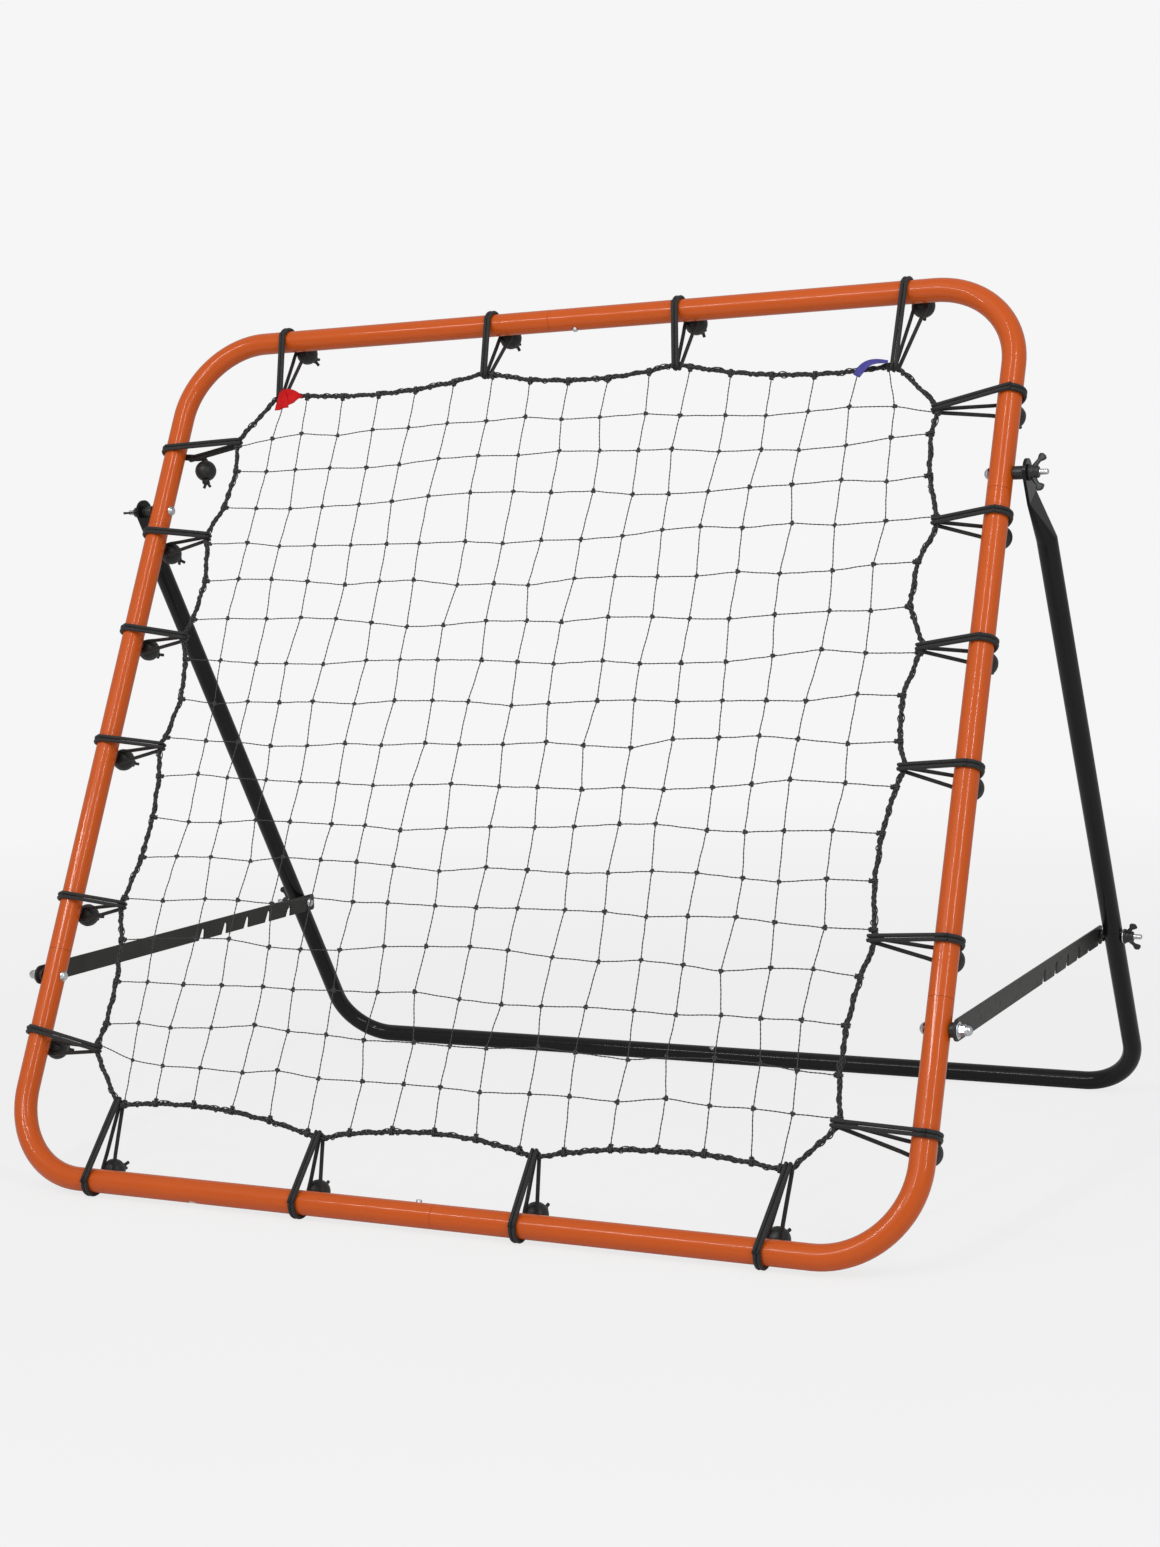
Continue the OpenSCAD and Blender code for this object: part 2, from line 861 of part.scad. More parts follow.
// Flat tab in front of the net: centre, size and turn in the frame plane
module tab(x, v, w, h, turn) {
    front = 6;
    tab_t = 1.5;
    in_frame_plane()
        translate([x, v, front]) rotate([0, 0, turn]) translate([-w / 2, -h / 2, -tab_t / 2]) cube([w, h, tab_t]);
}

module red_tab() {
    color([0.75, 0.12, 0.10]) tab(-344, 887, 24, 20, -12);
}

module blue_tab() {
    color([0.30, 0.28, 0.62]) tab(347, 877, 28, 12, -24);
}

top_left_corner_tube();
top_right_corner_tube();
left_side_tube();
right_side_tube();
bottom_left_corner_tube();
bottom_right_corner_tube();
frame_drain_plug();
frame_button_springs();
top_snap_button();
bottom_snap_button();
pivot_bolts();
pivot_spacers();
left_pivot_wing_nut();
right_pivot_wing_nut();
strut_bolts();
strut_bushes();
strut_washers();
strut_dome_nuts();
left_strut();
right_strut();
left_stand_leg();
right_stand_leg();
left_stand_base();
right_stand_base();
stand_drain_plug();
stand_button_spring();
stand_snap_button();
leg_bolts();
leg_bolt_bushes();
leg_bolt_washers();
left_leg_wing_nut();
right_leg_wing_nut();
net_panel();
border_rope();
top_bungee_cords();
right_bungee_cords();
bottom_bungee_cords();
left_bungee_cords();
top_bungee_balls();
right_bungee_balls();
bottom_bungee_balls();
left_bungee_balls();
red_tab();
blue_tab();
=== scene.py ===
"""Looks of the ball rebounder: powder-coated tubes, a knotted net on a rope, and bungee ties with balls.
Lengths are in metres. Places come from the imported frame; a point in the frame's own plane is (x, n, v):
x across, n square to the plane and rearward, v up the slope from the bottom tube's axis."""
import json
import math
import random

import bmesh
import bpy
import numpy as np
from mathutils import Matrix, Vector


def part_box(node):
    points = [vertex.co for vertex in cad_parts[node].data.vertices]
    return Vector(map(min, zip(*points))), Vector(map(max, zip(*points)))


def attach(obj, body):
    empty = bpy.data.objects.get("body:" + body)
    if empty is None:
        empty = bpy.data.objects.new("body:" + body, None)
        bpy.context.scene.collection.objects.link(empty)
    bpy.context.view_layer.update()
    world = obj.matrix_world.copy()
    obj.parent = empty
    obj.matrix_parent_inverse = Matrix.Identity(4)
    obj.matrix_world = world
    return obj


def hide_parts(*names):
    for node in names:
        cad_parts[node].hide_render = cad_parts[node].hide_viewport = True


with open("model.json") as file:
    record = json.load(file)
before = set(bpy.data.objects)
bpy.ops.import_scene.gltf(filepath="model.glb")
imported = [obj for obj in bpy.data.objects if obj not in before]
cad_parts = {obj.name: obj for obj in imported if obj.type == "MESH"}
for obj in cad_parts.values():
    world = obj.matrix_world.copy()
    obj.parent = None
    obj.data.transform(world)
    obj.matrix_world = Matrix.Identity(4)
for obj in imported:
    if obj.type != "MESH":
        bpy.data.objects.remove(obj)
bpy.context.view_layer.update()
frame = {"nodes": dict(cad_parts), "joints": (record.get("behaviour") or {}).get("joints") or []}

MM = 0.001
RNG = random.Random(11)


# ---- Places taken from the frame ----

def joint(name):
    return next(j for j in frame["joints"] if j["name"] == name)


PIVOT = Vector(joint("stand_fold")["pos_m"])
STRUT_BOLT = Vector(joint("left_strut_swing")["pos_m"]) * Vector((0, 1, 1))
UP_SLOPE = (PIVOT - STRUT_BOLT).normalized()
ACROSS = Vector((1, 0, 0))
REARWARD = UP_SLOPE.cross(ACROSS)

side_low, side_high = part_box("left_side_tube")
TUBE_R = (side_high.x - side_low.x) / 2
SIDE_X = abs(side_low.x + side_high.x) / 2
bottom_low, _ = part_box("bottom_left_corner_tube")
_, top_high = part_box("top_left_corner_tube")
BOTTOM_AXIS = Vector((0, bottom_low.y + TUBE_R, bottom_low.z + TUBE_R))
TOP_AXIS = Vector((0, top_high.y - TUBE_R, top_high.z - TUBE_R))
TOP_V = (TOP_AXIS - BOTTOM_AXIS).dot(UP_SLOPE)
TO_ROW = np.array([ACROSS, REARWARD, UP_SLOPE])
ORIGIN = np.array(BOTTOM_AXIS)


def to_row(points):
    """Frame-plane points (x, n, v) as row-frame points."""
    return np.asarray(points, float) @ TO_ROW + ORIGIN


def to_plane(points):
    """Row-frame points as frame-plane points (x, n, v)."""
    return (np.asarray(points, float) - ORIGIN) @ TO_ROW.T


def solids(node):
    """The separate solids of a CAD node, each as an array of frame-plane points."""
    bm = bmesh.new()
    bm.from_mesh(frame["nodes"][node].data)
    bmesh.ops.remove_doubles(bm, verts=bm.verts, dist=1e-6)
    left = set(bm.verts)
    found = []
    while left:
        group, queue = [], [left.pop()]
        while queue:
            vert = queue.pop()
            group.append(vert.co[:])
            for edge in vert.link_edges:
                other = edge.other_vert(vert)
                if other in left:
                    left.remove(other)
                    queue.append(other)
        found.append(to_plane(group))
    bm.free()
    return found


class Side:
    """One tube of the frame: its local axes are inward to the net, rearward, and along the tube."""

    def __init__(self, name, base, inward, along):
        self.name = name
        self.base = np.array(base, float)
        self.axes = np.array([inward, (0, 1, 0), along], float)

    def local(self, points):
        return (np.asarray(points) - self.base) @ self.axes.T

    def plane(self, points):
        return np.asarray(points, float) @ self.axes + self.base


SIDES = [
    Side("left", (-SIDE_X, 0, 0), (1, 0, 0), (0, 0, 1)),
    Side("top", (0, 0, TOP_V), (0, 0, -1), (1, 0, 0)),
    Side("right", (SIDE_X, 0, 0), (-1, 0, 0), (0, 0, 1)),
    Side("bottom", (0, 0, 0), (0, 0, 1), (1, 0, 0)),
]

ROPE_R = 3 * MM
CORD_R = 2 * MM
TIP_GAP = ROPE_R + 0.2 * MM   # from the tip of a CAD tie to the rope's middle
EXTREME = 0.3 * MM            # points this close to the furthest one count as the furthest
LOOSE_REACH = 20 * MM         # a ball further in than this hangs free instead of behind its tube


def read_ties(side):
    """Each tie of a tube, in the side's axes: where its band sits, where it holds the rope, and its ball."""
    balls = [side.local(s) for s in solids(side.name + "_bungee_balls")]
    centres = [(b.min(0) + b.max(0)) / 2 for b in balls]
    radius = float(np.ptp(balls[0][:, 0])) / 2
    ties = []
    for points in (side.local(s) for s in solids(side.name + "_bungee_cords")):
        outer = points[points[:, 0] < points[:, 0].min() + EXTREME]
        band = (outer[:, 2].min() + outer[:, 2].max()) / 2
        reach = np.hypot(points[:, 0], points[:, 2] - band)
        tip = points[reach > reach.max() - EXTREME].mean(0) - (0, 0, band)
        tip[1] = 0
        knot = tip * (1 + TIP_GAP / np.linalg.norm(tip))
        ball = min(centres, key=lambda c: abs(c[2] - band))
        ties.append({
            "side": side, "band": band, "knot": knot + (0, 0, band),
            "ball": ball, "ball_r": radius, "loose": bool(ball[0] > LOOSE_REACH),
        })
    return sorted(ties, key=lambda t: t["band"])


TIES = {side.name: read_ties(side) for side in SIDES}


def knot_place(tie):
    """Where a tie holds the rope, as (x, v)."""
    return tie["side"].plane(tie["knot"])[[0, 2]]


# ---- Mesh building ----

class Builder:
    """Collects swept and turned shapes, with a UV that runs around (u) and along in metres (v)."""

    def __init__(self):
        self.verts, self.faces, self.uvs = [], [], []
        self.count = 0

    def add(self, verts, faces, uvs):
        self.verts.append(np.asarray(verts, float))
        self.faces.extend([[i + self.count for i in f] for f in faces])
        self.uvs.extend(uvs)
        self.count += len(verts)

    def grid(self, rings, u_step, v_at, closed_rings=False, cap=True):
        """Quads between rings of points: rings is (ring, side, xyz), and v_at is each ring's place along.
        Closed rings take one more v_at than there are rings."""
        n, m, _ = rings.shape
        verts = rings.reshape(-1, 3)
        faces, uvs = [], []
        for i in range(n if closed_rings else n - 1):
            j = (i + 1) % n
            v0, v1 = v_at[i], v_at[i + 1]
            for k in range(m):
                a = (k + 1) % m
                faces.append([i * m + k, i * m + a, j * m + a, j * m + k])
                u0, u1 = k * u_step, (k + 1) * u_step
                uvs.extend([(u0, v0), (u1, v0), (u1, v1), (u0, v1)])
        if cap and not closed_rings:
            faces.append(list(range(m))[::-1])
            uvs.extend([(0.5, v_at[0])] * m)
            faces.append([(n - 1) * m + k for k in range(m)])
            uvs.extend([(0.5, v_at[n - 1])] * m)
        self.add(verts, faces, uvs)

    def object(self, name, material, body, slot, *replaced, in_row=False):
        """The collected shapes as one piece. Their points are in the frame's plane, unless in_row is set."""
        points = np.concatenate(self.verts)
        if not in_row:
            points = to_row(points)
        mesh = bpy.data.meshes.new(name)
        mesh.from_pydata(points.tolist(), [], self.faces)
        layer = mesh.uv_layers.new(name="UVMap")
        layer.data.foreach_set("uv", np.asarray(self.uvs, np.float32).ravel())
        mesh.polygons.foreach_set("use_smooth", np.ones(len(mesh.polygons), bool))
        mesh.materials.append(material)
        mesh.validate()
        obj = bpy.data.objects.new(name, mesh)
        bpy.context.scene.collection.objects.link(obj)
        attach(obj, body)
        if replaced:
            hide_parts(*replaced)
        return obj


SIDEWAYS = (0.31, 0.95, 0.05)   # a direction that few lines run along


def unit(v):
    """Vectors at length 1."""
    return v / np.linalg.norm(v, axis=-1, keepdims=True)


def carried_frames(points, closed=False):
    """Tangents and two side axes along a line, turned as little as possible from ring to ring."""
    if closed:
        tangents = unit(np.roll(points, -1, 0) - np.roll(points, 1, 0))
    else:
        tangents = unit(np.gradient(points, axis=0))
    first = np.cross(tangents[0], SIDEWAYS)
    if np.linalg.norm(first) < 0.1:
        first = np.cross(tangents[0], (1, 0, 0))
    a = np.empty_like(points)
    a[0] = unit(first)
    for i in range(1, len(points)):
        side = a[i - 1] - tangents[i] * (a[i - 1] @ tangents[i])
        a[i] = side / np.linalg.norm(side)
    b = np.cross(tangents, a)
    if closed:
        end = a[-1] - tangents[0] * (a[-1] @ tangents[0])
        slip = math.atan2(end @ b[0], end @ a[0])
        turn = -slip * np.arange(len(points)) / len(points)
        a, b = turned(a, b, turn)
    return a, b


def turned(a, b, turn):
    """Two side axes turned about their line."""
    c, s = np.cos(turn)[:, None], np.sin(turn)[:, None]
    return a * c + b * s, b * c - a * s


def travelled(points):
    """Length along a line, up to each of its points."""
    steps = np.linalg.norm(np.diff(points, axis=0), axis=1)
    return np.concatenate([[0], np.cumsum(steps)])


def sweep(builder, points, radius, sides=8, flat=0.0, lay=0.0, closed=False):
    """Cord along a line. With flat and lay its section is an oval that turns once every lay, as in twine."""
    points = np.asarray(points, float)
    a, b = carried_frames(points, closed)
    run = travelled(np.vstack([points, points[:1]]) if closed else points)
    angle = 2 * np.pi * np.arange(sides) / sides
    if lay:
        a, b = turned(a, b, 2 * np.pi * run[: len(points)] / lay)
    ring_a = radius * np.cos(angle)
    ring_b = radius * (1 - flat) * np.sin(angle)
    rings = points[:, None] + a[:, None] * ring_a[None, :, None] + b[:, None] * ring_b[None, :, None]
    builder.grid(rings, 1 / sides, run, closed_rings=closed)


def smooth_line(points, step):
    """Catmull-Rom line through the points, with rings about one step apart."""
    p = np.asarray(points, float)
    n = len(p)
    out = []
    for i in range(n - 1):
        p1, p2 = p[i], p[i + 1]
        p0 = p[i - 1] if i > 0 else 2 * p1 - p2
        p3 = p[i + 2] if i + 2 < n else 2 * p2 - p1
        count = max(2, int(round(np.linalg.norm(p2 - p1) / step)))
        t = np.arange(count)[:, None] / count
        out.append(0.5 * (2 * p1 + (p2 - p0) * t + (2 * p0 - 5 * p1 + 4 * p2 - p3) * t ** 2
                          + (3 * p1 - p0 - 3 * p2 + p3) * t ** 3))
    return np.concatenate(out + [p[-1:]])


def placed(points, centre, axis, spin=0.0):
    """Points drawn about +z, moved to a centre with +z along an axis."""
    turn = Vector((0, 0, 1)).rotation_difference(Vector(axis)).to_matrix() @ Matrix.Rotation(spin, 3, "Z")
    return np.asarray(points, float) @ np.array(turn).T + np.asarray(centre)


def lathe(builder, profile, centre, axis, sides=48):
    """Surface turned about an axis: profile rows are (radius, height)."""
    angle = 2 * np.pi * np.arange(sides) / sides
    profile = np.asarray(profile, float)
    rings = np.stack([
        profile[:, :1] * np.cos(angle),
        profile[:, :1] * np.sin(angle),
        np.repeat(profile[:, 1:], sides, 1),
    ], -1)
    rings = placed(rings.reshape(-1, 3), centre, axis).reshape(len(profile), sides, 3)
    builder.grid(rings, 1 / sides, travelled(profile))


def trefoil(size, depth, steps):
    """A closed overhand knot of about that half-width, with its depth along z."""
    t = 2 * np.pi * np.arange(steps) / steps
    x = np.sin(t) + 2 * np.sin(2 * t)
    y = np.cos(t) - 2 * np.cos(2 * t)
    return np.stack([x, y, -depth * np.sin(3 * t)], -1) * size / 3


# ---- Materials ----

def new_material(name):
    mat = bpy.data.materials.new(name)
    mat.use_nodes = True
    return mat, mat.node_tree.nodes, mat.node_tree.links, mat.node_tree.nodes["Principled BSDF"]


def noise(nodes, links, scale, detail):
    node = nodes.new("ShaderNodeTexNoise")
    node.inputs["Scale"].default_value = scale
    node.inputs["Detail"].default_value = detail
    coords = nodes.new("ShaderNodeTexCoord")
    links.new(coords.outputs["Object"], node.inputs["Vector"])
    return node.outputs["Fac"]


def ramp(nodes, links, value, stops):
    node = nodes.new("ShaderNodeValToRGB")
    elements = node.color_ramp.elements
    while len(elements) < len(stops):
        elements.new(0.5)
    for element, (place, colour) in zip(elements, stops):
        element.position = place
        element.color = (*colour, 1)
    links.new(value, node.inputs["Fac"])
    return node.outputs["Color"]


def grey(level):
    return (level, level, level)


def maths(nodes, links, operation, a, b=0.0):
    node = nodes.new("ShaderNodeMath")
    node.operation = operation
    for value, socket in ((a, node.inputs[0]), (b, node.inputs[1])):
        if isinstance(value, (int, float)):
            socket.default_value = value
        else:
            links.new(value, socket)
    return node.outputs[0]


def own_uv(nodes, links):
    """The piece's UV as two values: around (or across) it, and along it."""
    split = nodes.new("ShaderNodeSeparateXYZ")
    links.new(nodes.new("ShaderNodeTexCoord").outputs["UV"], split.inputs[0])
    return split.outputs["X"], split.outputs["Y"]


def bump(nodes, links, shader, height, strength, distance):
    node = nodes.new("ShaderNodeBump")
    node.inputs["Strength"].default_value = strength
    node.inputs["Distance"].default_value = distance
    links.new(height, node.inputs["Height"])
    links.new(node.outputs["Normal"], shader.inputs["Normal"])


def powder_coat(name, dark, light, roughness, scuff, specular, gloss=0.0):
    """Baked paint: fine orange peel, a slow drift of colour, small matt scuffs, and a glossy skin."""
    mat, nodes, links, shader = new_material(name)
    drift = noise(nodes, links, 9, 4)
    links.new(ramp(nodes, links, drift, [(0.3, dark), (0.7, light)]), shader.inputs["Base Color"])
    scuffs = noise(nodes, links, 140, 8)
    rough = ramp(nodes, links, scuffs, [(0.55, grey(roughness)), (0.75, grey(scuff))])
    links.new(rough, shader.inputs["Roughness"])
    shader.inputs["Specular IOR Level"].default_value = specular
    shader.inputs["Coat Weight"].default_value = gloss
    shader.inputs["Coat Roughness"].default_value = 0.07
    shader.inputs["Coat IOR"].default_value = 1.45
    bump(nodes, links, shader, noise(nodes, links, 900, 2), 0.18, 0.0004)
    return mat


def zinc_plate(name, tone, roughness):
    """Bright plated steel with faint cloudy patches and fine turning marks."""
    mat, nodes, links, shader = new_material(name)
    shader.inputs["Metallic"].default_value = 1
    cloud = noise(nodes, links, 160, 5)
    dark, light = [tuple(c * k for c in tone) for k in (0.72, 1.0)]
    links.new(ramp(nodes, links, cloud, [(0.35, dark), (0.65, light)]), shader.inputs["Base Color"])
    links.new(ramp(nodes, links, cloud, [(0.3, grey(roughness)), (0.8, grey(roughness * 1.8))]),
              shader.inputs["Roughness"])
    bump(nodes, links, shader, noise(nodes, links, 2200, 2), 0.15, 0.0002)
    return mat


def moulded(name, dark, light, roughness):
    """Injection-moulded plastic with a fine spark-eroded grain."""
    mat, nodes, links, shader = new_material(name)
    links.new(ramp(nodes, links, noise(nodes, links, 40, 4), [(0.35, dark), (0.7, light)]),
              shader.inputs["Base Color"])
    worn = [(0.35, grey(roughness)), (0.75, grey(roughness + 0.2))]
    links.new(ramp(nodes, links, noise(nodes, links, 260, 4), worn), shader.inputs["Roughness"])
    bump(nodes, links, shader, noise(nodes, links, 1800, 2), 0.2, 0.0003)
    return mat


def braid(name, dark, light, strands, lay, roughness):
    """Woven sheath on a cord: two sets of helical strands cross, from the cord's own UV. Its colour carries
    painted shade: darker in the grooves between the strands, lighter on their crests.
    """
    mat, nodes, links, shader = new_material(name)
    u, v = own_uv(nodes, links)
    around = maths(nodes, links, "MULTIPLY", u, strands * 2 * math.pi)
    along = maths(nodes, links, "MULTIPLY", v, 2 * math.pi / lay)
    one = maths(nodes, links, "SINE", maths(nodes, links, "ADD", around, along))
    two = maths(nodes, links, "SINE", maths(nodes, links, "SUBTRACT", around, along))
    weave = maths(nodes, links, "MAXIMUM", one, two)
    fuzz = noise(nodes, links, 3000, 2)
    height = maths(nodes, links, "ADD", weave, maths(nodes, links, "MULTIPLY", fuzz, 0.6))
    # painted shade: the colour follows the strands' height, darker in the grooves between them and lighter on
    # the crests
    shade = maths(nodes, links, "MULTIPLY", maths(nodes, links, "ADD", weave, 1), 0.5)
    links.new(ramp(nodes, links, shade, [(0.2, dark), (0.95, light)]), shader.inputs["Base Color"])
    shader.inputs["Roughness"].default_value = roughness
    shader.inputs["Sheen Weight"].default_value = 0.08
    shader.inputs["Sheen Roughness"].default_value = 0.5
    bump(nodes, links, shader, height, 0.6, 0.0003)
    return mat


PLIES = 2


def plied(name, dark, light, roughness, lay):
    """Twisted yarn: slanting strands with loose fibres. Its colour follows their height: painted shade in the
    grooves between the plies, with the fibres giving a random tone.
    """
    mat, nodes, links, shader = new_material(name)
    u, v = own_uv(nodes, links)
    around = maths(nodes, links, "MULTIPLY", u, PLIES * 2 * math.pi)
    along = maths(nodes, links, "MULTIPLY", v, 2 * math.pi / lay)
    twist = maths(nodes, links, "SINE", maths(nodes, links, "ADD", around, along))
    fibres = noise(nodes, links, 2500, 3)
    height = maths(nodes, links, "ADD", twist, fibres)
    # the colour follows the height: painted shade in the grooves between the plies, and a random tone from
    # the fibres' noise
    shade = maths(nodes, links, "MULTIPLY", height, 0.5)
    links.new(ramp(nodes, links, shade, [(0.0, dark), (0.9, light)]), shader.inputs["Base Color"])
    shader.inputs["Roughness"].default_value = roughness
    bump(nodes, links, shader, height, 0.5, 0.0002)
    return mat


def webbing(name, dark, light, yarn):
    """Ribbon in a fine plain weave, from the ribbon's UV in metres. Its colour is a random tone with painted
    shade where the yarns dip in the weave.
    """
    mat, nodes, links, shader = new_material(name)
    u, v = own_uv(nodes, links)
    warp = maths(nodes, links, "SINE", maths(nodes, links, "MULTIPLY", u, 2 * math.pi / yarn))
    weft = maths(nodes, links, "SINE", maths(nodes, links, "MULTIPLY", v, 2 * math.pi / yarn))
    weave = maths(nodes, links, "MULTIPLY", warp, weft)
    # painted shade: the colour is darker where the weave dips, mixed with a random tone from the noise
    faint = maths(nodes, links, "MULTIPLY", weave, 0.3)
    shade = maths(nodes, links, "ADD", faint, noise(nodes, links, 120, 3))
    links.new(ramp(nodes, links, shade, [(0.25, dark), (0.75, light)]), shader.inputs["Base Color"])
    shader.inputs["Roughness"].default_value = 0.6
    shader.inputs["Specular IOR Level"].default_value = 0.15
    bump(nodes, links, shader, weave, 0.4, 0.0002)
    return mat


MATS = {
    "orange_paint": powder_coat(
        "orange_paint", (0.56, 0.086, 0.005), (0.585, 0.092, 0.006), 0.34, 0.46, 0.18, 0.45),
    "black_paint": powder_coat(
        "black_paint", (0.006, 0.006, 0.007), (0.009, 0.009, 0.010), 0.3, 0.45, 0.10, 0.35),
    "strut_paint": powder_coat(
        "strut_paint", (0.022, 0.022, 0.020), (0.034, 0.034, 0.031), 0.42, 0.62, 0.25),
    "zinc": zinc_plate("zinc", (0.72, 0.74, 0.77), 0.22),
    "spring_steel": zinc_plate("spring_steel", (0.42, 0.43, 0.46), 0.3),
    "black_nylon": moulded("black_nylon", (0.010, 0.010, 0.011), (0.020, 0.020, 0.022), 0.32),
    "ball_plastic": moulded("ball_plastic", (0.009, 0.009, 0.009), (0.018, 0.017, 0.017), 0.4),
    "pale_nylon": moulded("pale_nylon", (0.70, 0.69, 0.64), (0.82, 0.81, 0.76), 0.45),
    "bungee_cord": braid(
        "bungee_cord", (0.003, 0.003, 0.003), (0.013, 0.0125, 0.0125), 6, 3.2 * MM, 0.62),
    "border_cord": plied("border_cord", (0.006, 0.007, 0.007), (0.034, 0.035, 0.036), 0.6, 5 * MM),
    "net_twine": plied("net_twine", (0.020, 0.020, 0.020), (0.075, 0.075, 0.075), 0.65, 3 * MM),
    "red_webbing": webbing("red_webbing", (0.46, 0.003, 0.006), (0.66, 0.008, 0.010), 0.9 * MM),
    "blue_webbing": webbing("blue_webbing", (0.055, 0.05, 0.26), (0.10, 0.09, 0.38), 0.9 * MM),
}


# ---- Net: a grid of twines that settles between the ties ----

CELLS = 18              # meshes across, and meshes up
SCALLOP = 15 * MM       # how far the net pulls the rope in between two ties
UNEVEN = (0.72, 1.28)   # pull in one run of twine, against the mean
NET_BULGE = 5 * MM      # how far the middle hangs rearward
TWINE_R = 0.72 * MM
TWINE_STEP = 1.3 * MM
TWINE_FLAT = 0.3
TWINE_LAY = 9 * MM
TWINE_WANDER = 0.14 * MM
KNOT_STEPS = 24
KNOT_DEPTH = 0.9
ROPE_STEP = 1.5 * MM
TIE_CLEAR = 4 * MM      # the outermost net ends stay this far inside the outermost ties


def side_mean(name):
    """How far in from a tube its ties hold the rope, on average."""
    return float(np.mean([t["knot"][0] for t in TIES[name]]))


NET_LEFT = -SIDE_X + side_mean("left")
NET_RIGHT = SIDE_X - side_mean("right")
NET_TOP = TOP_V - side_mean("top")
NET_BOTTOM = side_mean("bottom")


def grid_place(i, j):
    """A crossing of the even net, before it settles."""
    return np.array([
        NET_LEFT + (NET_RIGHT - NET_LEFT) * i / CELLS,
        NET_BOTTOM + (NET_TOP - NET_BOTTOM) * j / CELLS,
    ])


def rope_order():
    """Names of the points along the border rope, clockwise from the bottom left: ties and net ends mixed."""
    inner = range(1, CELLS)
    runs = [
        ("left", [(0, j) for j in inner], 1, 1),
        ("top", [(i, CELLS) for i in inner], 0, 1),
        ("right", [(CELLS, j) for j in inner], 1, -1),
        ("bottom", [(i, 0) for i in inner], 0, -1),
    ]
    order = []
    for name, ends, axis, sign in runs:
        marks = [(grid_place(*e)[axis], e) for e in ends]
        knots = [(knot_place(t)[axis], (name, k)) for k, t in enumerate(TIES[name])]
        low, high = knots[0][0], knots[-1][0]
        marks = [(min(max(place, low + TIE_CLEAR), high - TIE_CLEAR), end) for place, end in marks]
        order.extend(key for _, key in sorted(marks + knots, key=lambda mark: sign * mark[0]))
    return order


def settled_net():
    """The rope's points in order, and the place of every rope and net point.
    Each line pulls on its two ends in proportion to its length, with the pull in a span of rope set by its
    scallop, so the places where all the pulls balance come from one linear solve."""
    order = rope_order()
    fixed = {(s.name, k): knot_place(t) for s in SIDES for k, t in enumerate(TIES[s.name])}
    place = {key: fixed.get(key) for key in order}
    tie_at = [k for k, key in enumerate(order) if key in fixed]
    pulls = []
    for a, b in zip(tie_at, tie_at[1:] + [tie_at[0] + len(order)]):
        span = [order[k % len(order)] for k in range(a, b + 1)]
        start, end = fixed[span[0]], fixed[span[-1]]
        chord = np.linalg.norm(end - start)
        net_ends = len(span) - 2
        for key in span[1:-1]:
            along = np.clip((grid_place(*key) - start) @ (end - start) / chord ** 2, 0.03, 0.97)
            place[key] = start + (end - start) * along
        tension = max(net_ends, 1) * chord / (8 * SCALLOP)
        for one, two in zip(span, span[1:]):
            length = max(np.linalg.norm(place[two] - place[one]), 5 * MM)
            pulls.append((one, two, tension / length))
    inner = [(i, j) for i in range(1, CELLS) for j in range(1, CELLS)]
    for key in inner:
        place[key] = grid_place(*key)
    cell = (NET_RIGHT - NET_LEFT) / CELLS
    for j in range(1, CELLS):
        for i in range(CELLS):
            pulls.append(((i, j), (i + 1, j), RNG.uniform(*UNEVEN) / cell))
            pulls.append(((j, i), (j, i + 1), RNG.uniform(*UNEVEN) / cell))
    free = [key for key in place if key not in fixed]
    index = {key: k for k, key in enumerate(free)}
    stiff = np.zeros((len(free), len(free)))
    load = np.zeros((len(free), 3))
    for one, two, q in pulls:
        for a, b in ((one, two), (two, one)):
            if a in index:
                stiff[index[a], index[a]] += q
                if b in index:
                    stiff[index[a], index[b]] -= q
                else:
                    load[index[a], 0] += q * fixed[b][0]
                    load[index[a], 2] += q * fixed[b][1]
    for key in inner:
        load[index[key], 1] = 1
    solved = np.linalg.solve(stiff, load)
    solved[:, 1] *= NET_BULGE / solved[:, 1].max()
    points = {key: solved[index[key]] for key in free}
    points.update({key: np.array([p[0], 0, p[1]]) for key, p in fixed.items()})
    return order, points


ROPE_KEYS, NET_POINTS = settled_net()


def wavy(points, size):
    """A slack line's small wander, a new one for each line."""
    run = travelled(points)
    out = points.copy()
    for axis in (0, 1, 2):
        phase, length = RNG.uniform(0, 6.28), RNG.uniform(20, 34) * MM
        out[:, axis] += size * np.sin(run / length * 2 * np.pi + phase)
    return out


def twine_line(keys):
    """One whole row or column of twine, bent softly at each crossing."""
    nodes = np.array([NET_POINTS[key] for key in keys])
    line = []
    for a, b in zip(nodes, nodes[1:]):
        count = int(np.ceil(np.linalg.norm(b - a) / TWINE_STEP))
        line.append(a + (b - a) * np.arange(count)[:, None] / count)
    line = np.concatenate(line + [nodes[-1:]])
    reach = 3
    kernel = np.ones(2 * reach + 1) / (2 * reach + 1)
    soft = np.stack([np.convolve(np.pad(line[:, k], reach, "edge"), kernel, "valid") for k in range(3)], -1)
    return wavy(soft, TWINE_WANDER)


def net_twines(material):
    """The runs of twine: a line for each row, and just in front of the rows a line for each column."""
    builder = Builder()
    for j in range(1, CELLS):
        row = twine_line([(i, j) for i in range(CELLS + 1)])
        column = twine_line([(j, i) for i in range(CELLS + 1)])
        sweep(builder, row + (0, 0.5 * TWINE_R, 0), TWINE_R, 6, TWINE_FLAT, TWINE_LAY)
        sweep(builder, column - (0, 0.5 * TWINE_R, 0), TWINE_R, 6, TWINE_FLAT, TWINE_LAY)
    return builder.object("net_twines", material, "frame", "net_twine", "net_panel")


